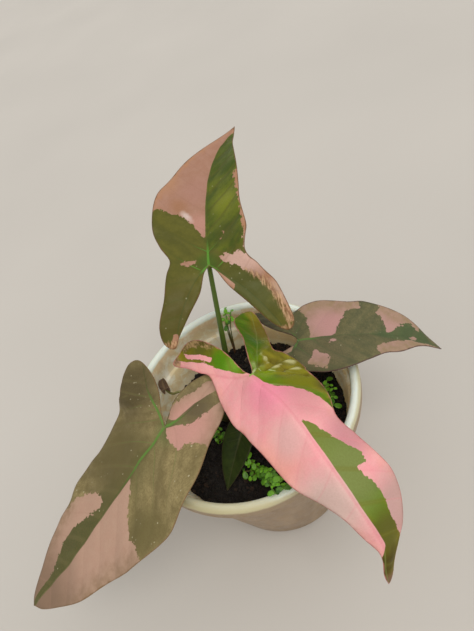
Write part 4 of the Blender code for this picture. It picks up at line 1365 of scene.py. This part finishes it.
def arc(centre, radius, start, end, steps):
    """Points on an arc in the plane of the profile; angles in degrees."""
    turns = np.radians(np.linspace(start, end, steps))
    return [(centre[0] + radius * math.cos(turn), centre[1] + radius * math.sin(turn)) for turn in turns]


def turned(name, profile, steps):
    """A profile of (radius, height) points turned round the Z axis."""
    mesh = bpy.data.meshes.new(name)
    mesh.from_pydata([(radius * MM, 0.0, height * MM) for radius, height in profile],
                     [(index, index + 1) for index in range(len(profile) - 1)], [])
    made = new_object(name, mesh)
    screw = made.modifiers.new("turn", "SCREW")
    screw.steps = screw.render_steps = steps
    screw.use_merge_vertices = True
    screw.merge_threshold = 1e-6
    return made


def inner_radius(height):
    part = (height - FLOOR_HEIGHT) / (LEDGE_HEIGHT - FLOOR_HEIGHT)
    return FLOOR_RADIUS + (LEDGE_RADIUS - FLOOR_RADIUS) * part


print("the soil stands in a ring of radius", round(inner_radius(SOIL_TOP), 1), "mm")

# %% [markdown]
# ### Pot finish
#
# The pot is white plastic that has been watered for a long time. Its lip stays clean, greenish white on
# top and yellower down its side and where the lamp falls on it. A brown film of dried soil runs down
# the outer wall. The inner wall is creamy, with a chalky crust just over the soil. Light passes a
# little way into thin plastic, so the finish has some subsurface scattering.


# %% Pot colours
def lip_colour(finish, x, y, radius, cloud):
    """Clean plastic, yellower on its outer side and at the front left."""
    clean = finish.mix(cloud, (0.80, 0.91, 0.87), (0.83, 0.90, 0.76))
    lip_side = finish.ramp(radius + (cloud - 0.5) * 1.5, RIM_RADIUS - 1.8, RIM_RADIUS - 0.5, 0.0, 0.9)
    clean = finish.mix(lip_side, clean, (0.52, 0.49, 0.30))
    sunny = finish.ramp(y * -1.0 - x * 0.6 + (cloud - 0.5) * 6.0, 44.0, 55.0, 0.0, 0.8)
    return finish.mix(sunny, clean, (0.56, 0.51, 0.30))


def outer_colour(finish, where, z, cloud, grime, runs):
    """A film of soil in runs down the wall, beige on the rim band, with a few darker blots."""
    stained = finish.mix(finish.ramp(runs * 0.5 + grime * 0.5, 0.33, 0.69), (0.255, 0.170, 0.098),
                         (0.39, 0.280, 0.178))
    beige = finish.mix(cloud, (0.26, 0.175, 0.098), (0.40, 0.30, 0.19))
    band_foot = POT_HEIGHT - RIM_BAND
    band = finish.ramp(z + (grime - 0.5) * 4.0, band_foot - 1.5, band_foot + 1.5)
    blot = finish.ramp(finish.cells(where, 0.16), 0.16, 0.03) * finish.ramp(grime, 0.45, 0.6)
    return finish.mix(blot * 0.5, finish.mix(band, stained, beige), (0.16, 0.09, 0.045))


def inner_colour(finish, z, cloud, grime, runs, fine):
    """Creamy lime with brown runs, and a crust that ends in a ragged line over the soil."""
    lime = finish.ramp(grime + (cloud - 0.5) * 0.7, 0.42, 0.60)
    wet = finish.mix(lime, (0.84, 0.68, 0.43), (0.95, 0.88, 0.71))
    wet = finish.mix(finish.ramp(runs, 0.55, 0.75, 0.0, 0.3), wet, (0.60, 0.46, 0.29))
    crust_top = SOIL_TOP + 4.5
    crust = finish.ramp(z + (grime - 0.5) * 7.0, crust_top, crust_top - 2.5)
    crust = crust * finish.ramp(fine, 0.3, 0.55, 0.4, 1.0)
    return finish.mix(crust, wet, (0.92, 0.80, 0.60))


print("pot colours ready")

# %% Pot finish
WALL_DRAFT = 0.185      # how much the wall's radius grows for each millimetre up


def pot_finish():
    finish = Finish("stained_white_plastic", 0.42, Subsurface_Weight=0.4, Subsurface_Scale=0.005)
    finish.shader.inputs["Subsurface Radius"].default_value = (1.0, 0.9, 0.7)
    where = finish.place()
    x, y, z = finish.axes(where)
    radius = (x * x + y * y) ** 0.5
    inner = finish.ramp(radius - (z - FOOT_ROUND) * WALL_DRAFT, BASE_RADIUS - 0.25, BASE_RADIUS - 0.55)
    inner = inner * finish.ramp(z, FOOT_ROUND, FLOOR_HEIGHT - 0.1)
    cloud = finish.noise(where, 0.045, 4.0)
    grime = finish.noise(where, 0.16, 5.0, 0.65, 0.6)
    fine = finish.noise(where, 1.1, 3.0)
    runs = finish.noise(finish.vector(x * 0.22, y * 0.22, z * 0.07), 1.0, 4.0, 0.6)
    colour = finish.mix(inner, outer_colour(finish, where, z, cloud, grime, runs),
                        inner_colour(finish, z, cloud, grime, runs, fine))
    lip = finish.ramp(z + (grime - 0.5) * 1.6, POT_HEIGHT - 2.3, POT_HEIGHT - 1.1)
    colour = finish.mix(lip * 0.9, colour, lip_colour(finish, x, y, radius, cloud))
    colour = finish.mix(finish.ramp(fine, 0.55, 0.75, 0.0, 0.14), colour, (0.45, 0.36, 0.24))
    finish.into(Base_Color=colour, Roughness=finish.ramp(grime, 0.3, 0.7, 0.32, 0.6))
    finish.into(Normal=finish.bump(grime * 0.6 + fine * 0.3, 0.0004, 0.35))
    return finish.material


plastic = pot_finish()
print("pot finish:", len(plastic.node_tree.nodes), "nodes")

# %% [markdown]
# ### Pot body
#
# The profile is written from the middle of the floor up the inside, over the lip and down the outside.

# %% Pot profile
LEDGE_CORNER = 0.6
lip_centre = (RIM_RADIUS - LIP_ROUND, POT_HEIGHT - LIP_ROUND)
band_foot = POT_HEIGHT - RIM_BAND
wall_spread = WALL_TOP_RADIUS - BASE_RADIUS
pot_profile = [
    (0.0, FLOOR_HEIGHT),
    *[(FLOOR_RADIUS * part, FLOOR_HEIGHT) for part in (0.25, 0.5, 0.75, 0.95)],
    *arc((FLOOR_RADIUS - 1.4, FLOOR_HEIGHT + 1.5), 1.5, -85.0, -10.0, 5),
    *[(inner_radius(height), height) for height in np.linspace(6.0, LEDGE_HEIGHT - 1.2, 14)],
    *arc((LEDGE_RADIUS + 0.75, LEDGE_HEIGHT - 0.75), LEDGE_CORNER, 170.0, 100.0, 5),
    *arc((THROAT_RADIUS - 0.7, LEDGE_HEIGHT + 0.7), LEDGE_CORNER, -80.0, -10.0, 5),
    *[(THROAT_RADIUS + 0.03 * step, LEDGE_HEIGHT + 2.0 + 1.8 * step) for step in range(5)],
    *arc(lip_centre, LIP_ROUND, 175.0, 0.0, 16),
    *[(RIM_RADIUS, band_foot + height) for height in (3.0, 2.0, 1.2)],
    *arc((RIM_RADIUS - 0.7, band_foot + 0.7), 0.7, -10.0, -85.0, 6),
    *arc((WALL_TOP_RADIUS + 0.6, band_foot - 0.9), 0.6, 95.0, 180.0, 5),
    *[(BASE_RADIUS + wall_spread * (height - FOOT_ROUND) / (band_foot - FOOT_ROUND), height)
      for height in np.linspace(band_foot - 2.5, FOOT_ROUND, 16)],
    *arc((BASE_RADIUS - FOOT_ROUND, FOOT_ROUND), FOOT_ROUND, -5.0, -90.0, 7),
    *[(BASE_RADIUS * part, 0.0) for part in (0.7, 0.45, 0.2)],
    (0.0, 0.0),
]
POT_STEPS = 144
pot = turned("pot", pot_profile, POT_STEPS)
print("pot profile:", len(pot_profile), "points")

# %% [markdown]
# Six short cylinders stand in a ring through the floor, and a Boolean subtracts each of them. Holes
# drawn into the profile would be rings, so they have to be cut once the pot has been turned.

# %% Drain holes
DRAINS = 6
DRAIN_RADIUS = 4.0
DRAIN_CIRCLE = 20.0
for index in range(DRAINS):
    shell = bmesh.new()
    bmesh.ops.create_cone(shell, cap_ends=True, segments=32, radius1=DRAIN_RADIUS * MM,
                          radius2=DRAIN_RADIUS * MM, depth=3 * FLOOR_HEIGHT * MM)
    drill_mesh = bpy.data.meshes.new("drill")
    shell.to_mesh(drill_mesh)
    shell.free()
    drill = new_object("drill", drill_mesh)
    turn = math.tau * index / DRAINS
    middle = (DRAIN_CIRCLE * math.cos(turn), DRAIN_CIRCLE * math.sin(turn), FLOOR_HEIGHT / 2)
    drill.location = Vector(middle) * MM
    cut = pot.modifiers.new("drain", "BOOLEAN")
    cut.operation = "DIFFERENCE"
    cut.object = drill
pot = new_object("pot_shell", plain_mesh(pot, "pot_shell"))
for drill in [item for item in bpy.data.objects if item.name.startswith("drill")]:
    bpy.data.objects.remove(drill, do_unlink=True)
pot.data.materials.clear()
pot.data.materials.append(plastic)
dress(pot, "pot_plastic", "pot")

# %% [markdown]
# ## Soil
#
# Potting mix is dark and fibrous, with crumbs of every size. The body is a turned block that fills the
# pot. A Geometry Nodes tree lifts its top by noise and scatters small rough crumbs over it, because
# a bump alone would leave a flat outline where the soil meets the wall and the stalks.

# %% Soil body
SOIL_MOUND = 1.6
SOIL_LUMP = 0.9
SOIL_GAP = 0.3          # between the soil and the pot
SOIL_RINGS = 48
SOIL_STEPS = 160
soil_edge = inner_radius(SOIL_TOP) - SOIL_GAP
soil_foot = FLOOR_HEIGHT + SOIL_GAP
soil_profile = [(radius, SOIL_TOP) for radius in np.linspace(0.0, soil_edge, SOIL_RINGS)]
soil_profile += [(inner_radius(height) - SOIL_GAP, height) for height in (50.0, 40.0, 25.0, soil_foot)]
soil_profile += [(15.0, soil_foot), (0.0, soil_foot)]


def soil_height(x, y):
    """The low lumps of the potting mix, fading out at the wall, as on the CAD soil."""
    reach = min(1.0, math.hypot(x, y) / inner_radius(SOIL_TOP))
    lumps = (math.sin(0.42 * x + 0.6) * math.cos(0.37 * y) + 0.6 * math.sin(0.81 * y - 0.5 * x + 2.0)
             + 0.4 * math.cos(1.1 * x + 0.7 * y))
    return SOIL_TOP + SOIL_MOUND * (1.0 - reach ** 2) + SOIL_LUMP * lumps * 0.5 * (1.0 - reach ** 4)


soil_mesh = plain_mesh(turned("soil", soil_profile, SOIL_STEPS), "soil")
for vertex in soil_mesh.vertices:
    x, y, z = vertex.co / MM
    if z > SOIL_TOP - 1.0:
        vertex.co.z = soil_height(x, y) * MM
print("soil top rises to", round(max(vertex.co.z for vertex in soil_mesh.vertices) / MM, 1), "mm")

# %% Soil tree
mix = Growth("potting_mix", Lump=0.0009, Crumb=0.0010, Spacing=0.0011, Grain=900.0, Seed=4, Material="")
ground = mix.given("Geometry")
height = mix.axis(mix.add("GeometryNodeInputPosition"), 2)
upper = mix.maths("GREATER_THAN", height, (SOIL_TOP - 2.0) * MM)
lift = mix.add("ShaderNodeTexNoise", None, {"Scale": mix.given("Grain"), "Detail": 3.0})
lift = mix.maths("MULTIPLY", mix.maths("SUBTRACT", lift, 0.5), mix.given("Lump"))
lifted = mix.add("GeometryNodeSetPosition", None, {
    "Geometry": ground, "Selection": upper, "Offset": mix.vector(0.0, 0.0, lift)})
faces_up = mix.axis(mix.add("GeometryNodeInputNormal"), 2)
top = mix.maths("MULTIPLY", upper, mix.maths("GREATER_THAN", faces_up, 0.5))
points = mix.add("GeometryNodeDistributePointsOnFaces", {"distribute_method": "POISSON"}, {
    "Mesh": lifted, "Selection": top, "Distance Min": mix.given("Spacing"), "Density Max": 9e5,
    "Seed": mix.given("Seed")})
size = mix.chance(0.0, 1.0, mix.given("Seed"))
size = mix.maths("ADD", mix.maths("MULTIPLY", mix.maths("POWER", size, 3.0), 1.4), 0.55)
turn = mix.add("FunctionNodeRandomValue", {"data_type": "FLOAT_VECTOR"}, {1: (6.28, 6.28, 6.28)})
crumb = mix.add("GeometryNodeMeshIcoSphere", None, {"Radius": mix.given("Crumb"), "Subdivisions": 1})
crumbs = mix.add("GeometryNodeInstanceOnPoints", None, {
    "Points": points, "Instance": crumb, "Rotation": turn, "Scale": size})
crumbs = mix.label(crumbs, "tint", mix.chance(0.0, 1.0, 9), "INSTANCE")
crumbs = mix.add("GeometryNodeRealizeInstances", None, {0: crumbs})
rough = mix.add("ShaderNodeTexNoise", None, {"Scale": 1400.0, "Detail": 2.0}, 1)
rough = mix.add("ShaderNodeVectorMath", {"operation": "SUBTRACT"}, {0: rough, 1: (0.5, 0.5, 0.5)})
rough = mix.add("ShaderNodeVectorMath", {"operation": "SCALE"}, {0: rough, "Scale": 0.0011})
crumbs = mix.add("GeometryNodeSetPosition", None, {"Geometry": crumbs, "Offset": rough})
mix.finish(mix.add("GeometryNodeJoinGeometry", None, {0: [lifted, crumbs]}))
print("soil tree:", len(mix.group.nodes), "nodes")

# %% [markdown]
# Most crumbs are nearly black. The number that each crumb carries picks out a few brown ones, and very
# few pale ones, like the bits of bark and perlite in a bought mix.


# %% Soil finish
def soil_finish():
    finish = Finish("dark_potting_mix", 0.92)
    where = finish.place()
    tint = finish.attribute("tint")
    fine = finish.noise(where, 1.4, 4.0, 0.65)
    colour = finish.mix(fine, (0.005, 0.0038, 0.003), (0.020, 0.013, 0.009))
    colour = finish.mix(finish.ramp(tint, 0.85, 0.95), colour, (0.040, 0.023, 0.014))
    colour = finish.mix(finish.ramp(tint, 0.985, 0.989), colour, (0.13, 0.095, 0.06))
    finish.into(Base_Color=colour, Roughness=finish.ramp(fine, 0.3, 0.7, 0.75, 1.0))
    finish.into(Normal=finish.bump(fine, 0.0006, 0.8))
    return finish.material


soil = mix.grow(new_object("soil", soil_mesh), "soil_mix", Material=soil_finish())
dress(soil, "potting_soil", "soil")

# %% [markdown]
# ## Weeds
#
# Small weeds grow between the stalks: hair-thin reddish stems with pairs of small oval leaflets. The
# stems fan out from one root, lie lowest in the open and climb over the rim at the front. They are
# swept by the stalk tree.

# %% Weed stems
WEEDS = {
    "weed_front": dict(seed=7, root=(-5.0, -27.0), bare=0.2, ends=(
        (-10.0, -23.2, 66.0), (-7.4, -24.1, 68.0), (-11.5, -26.0, 64.0), (-9.5, -29.5, 65.0),
        (-4.9, -31.7, 70.0), (-2.5, -37.2, 74.0), (-1.7, -42.1, 78.0),
        (-1.7, -47.2, 82.0), (2.0, -47.5, 83.0), (2.5, -44.0, 83.0))),
    "weed_right": dict(seed=8, root=(31.0, -7.0), bare=0.25, ends=(
        (36.0, -8.0, 66.0), (36.5, -11.0, 67.0), (34.5, -13.0, 64.0), (33.5, -17.0, 65.0),
        (35.5, -7.9, 70.0), (34.5, -15.5, 69.0), (30.0, -13.0, 63.0))),
    "weed_back": dict(seed=11, root=(4.0, 38.5), bare=0.80, ends=(
        (9.3, 42.5, 84.0), (11.1, 39.1, 84.0), (6.8, 41.5, 78.0))),
    "weed_left": dict(seed=3, root=(-17.0, -5.0), bare=0.3, ends=(
        (-15.3, -2.4, 64.0), (-15.0, -6.3, 64.0), (-18.6, -5.0, 62.0), (-16.5, -0.7, 66.0))),
}


def weed_stems(weed):
    root = Vector((*weed["root"], SOIL_TOP - ROOT_DEPTH * 0.5))
    neck = Vector((*weed["root"], SOIL_TOP + 2.0))
    paths = []
    for number, end in enumerate(weed["ends"]):
        end = Vector(end)
        toward = (end - neck).normalized()
        start = neck - Vector((0.0, 0.0, 0.8 + 0.17 * number)) + Vector((toward.x, toward.y, 0.0)) * 0.3
        middle = neck.lerp(end, 0.5) + Vector((0.0, 0.0, 0.12 * (end - neck).length))
        paths.append([root] + smooth_line([start, middle, end], 1.0))
    return paths


print("weeds:", {name: len(weed["ends"]) for name, weed in WEEDS.items()})

# %% [markdown]
# ### Leaflets
#
# A second tree walks along the stems, skips their bare foot and sets two leaflets at each step, each
# turned, tipped and sized by a draw from a fixed seed. One leaflet is a small shallow dish, narrow
# where it is joined, with few faces because it is repeated hundreds of times.

# %% Leaflet tree
sprig = Growth("sprig", Leaflet=0.00122, Spacing=0.0028, Bare=0.30, Lean=0.45, Seed=1, Material="")
factor = sprig.add("GeometryNodeSplineParameter")
spots = sprig.add("GeometryNodeCurveToPoints", {"mode": "LENGTH"}, {
    "Curve": sprig.label(sprig.given("Geometry"), "part", factor), "Length": sprig.given("Spacing")})
part = sprig.add("GeometryNodeInputNamedAttribute", {"data_type": "FLOAT"}, {"Name": "part"})
leafy = sprig.maths("GREATER_THAN", part, sprig.given("Bare"))
disc = sprig.add("GeometryNodeMeshUVSphere", None, {"Segments": 10, "Rings": 5, "Radius": 1.0})
spot = sprig.add("GeometryNodeInputPosition")
x, y, z = (sprig.axis(spot, number) for number in range(3))
away = sprig.maths("ADD", sprig.maths("MULTIPLY", x, x), sprig.maths("MULTIPLY", y, y))
bowl = sprig.maths("ADD", sprig.maths("MULTIPLY", z, 0.13), sprig.maths("MULTIPLY", away, 0.20))
waist = sprig.maths("ADD", sprig.maths("MULTIPLY", x, 0.12), 0.70)
dish = sprig.vector(sprig.maths("ADD", x, 0.9), sprig.maths("MULTIPLY", y, waist), bowl)
disc = sprig.add("GeometryNodeSetPosition", None, {"Geometry": disc, "Position": dish})
lean = sprig.add("FunctionNodeEulerToRotation", None, {0: sprig.vector(0.0, sprig.given("Lean"))})
disc = sprig.add("GeometryNodeTransform", None, {"Geometry": disc, "Rotation": lean})
pairs = []
for side in (0.0, math.pi):
    turn = sprig.chance(side, side + math.tau, sprig.given("Seed"))
    tip = sprig.chance(-0.35, 0.25, sprig.maths("ADD", sprig.given("Seed"), 5.0 + side))
    size = sprig.chance(0.6, 1.5, sprig.maths("ADD", sprig.given("Seed"), 9.0 + side))
    pairs.append(sprig.add("GeometryNodeInstanceOnPoints", None, {
        "Points": spots, "Selection": leafy, "Instance": disc, "Rotation": sprig.vector(0.0, tip, turn),
        "Scale": sprig.maths("MULTIPLY", size, sprig.given("Leaflet"))}))
leaflets = sprig.add("GeometryNodeJoinGeometry", None, {0: pairs})
sprig.finish(sprig.label(leaflets, "tint", sprig.chance(0.0, 1.0, 3), "INSTANCE"))
print("sprig tree:", len(sprig.group.nodes), "nodes")

# %% [markdown]
# Each leaflet's own number takes it from deep to bright green, as young and old leaflets grow mixed.


# %% Weeds with their finish
def weed_finish():
    finish = Finish("weed_leaflets", 0.4)
    where = finish.place()
    tint = finish.attribute("tint")
    mottle = finish.noise(where, 0.6, 3.0)
    colour = finish.mix(tint, (0.014, 0.080, 0.003), (0.20, 0.54, 0.016))
    colour = finish.mix(finish.ramp(mottle, 0.40, 0.7, 0.0, 0.4), colour, (0.24, 0.50, 0.04))
    finish.into(Base_Color=colour, Roughness=finish.ramp(mottle, 0.3, 0.7, 0.35, 0.5))
    finish.into(Normal=finish.bump(mottle, 0.0002, 0.4))
    return finish.material


WEED_FOOT_RADIUS = 0.55
WEED_TIP_RADIUS = 0.20
green = weed_finish()
ruddy = stalk_finish("weed_stems", (0.14, 0.06, 0.03), (0.12, 0.20, 0.03), BLUSH, (60.0, 78.0))
for name, weed in WEEDS.items():
    stems = weed_stems(weed)
    body = stalk.grow(poly_curves(name, stems), name + "_stems", Foot_Radius=WEED_FOOT_RADIUS * MM,
                      Top_Radius=WEED_TIP_RADIUS * MM, Groove=0.0, Sides=8, Material=ruddy)
    dress(body, "weed_green", name)
    leaflets = sprig.grow(poly_curves(name, stems), name + "_leaflets", Seed=weed["seed"],
                          Bare=weed["bare"], Material=green)
    dress(leaflets, "weed_green")

# %% CAD and dressed boxes
dressed_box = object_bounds()
for label, (low, high) in (("CAD", cad_box), ("dressed", dressed_box)):
    print(label, [round(value / MM, 1) for value in low], [round(value / MM, 1) for value in high])
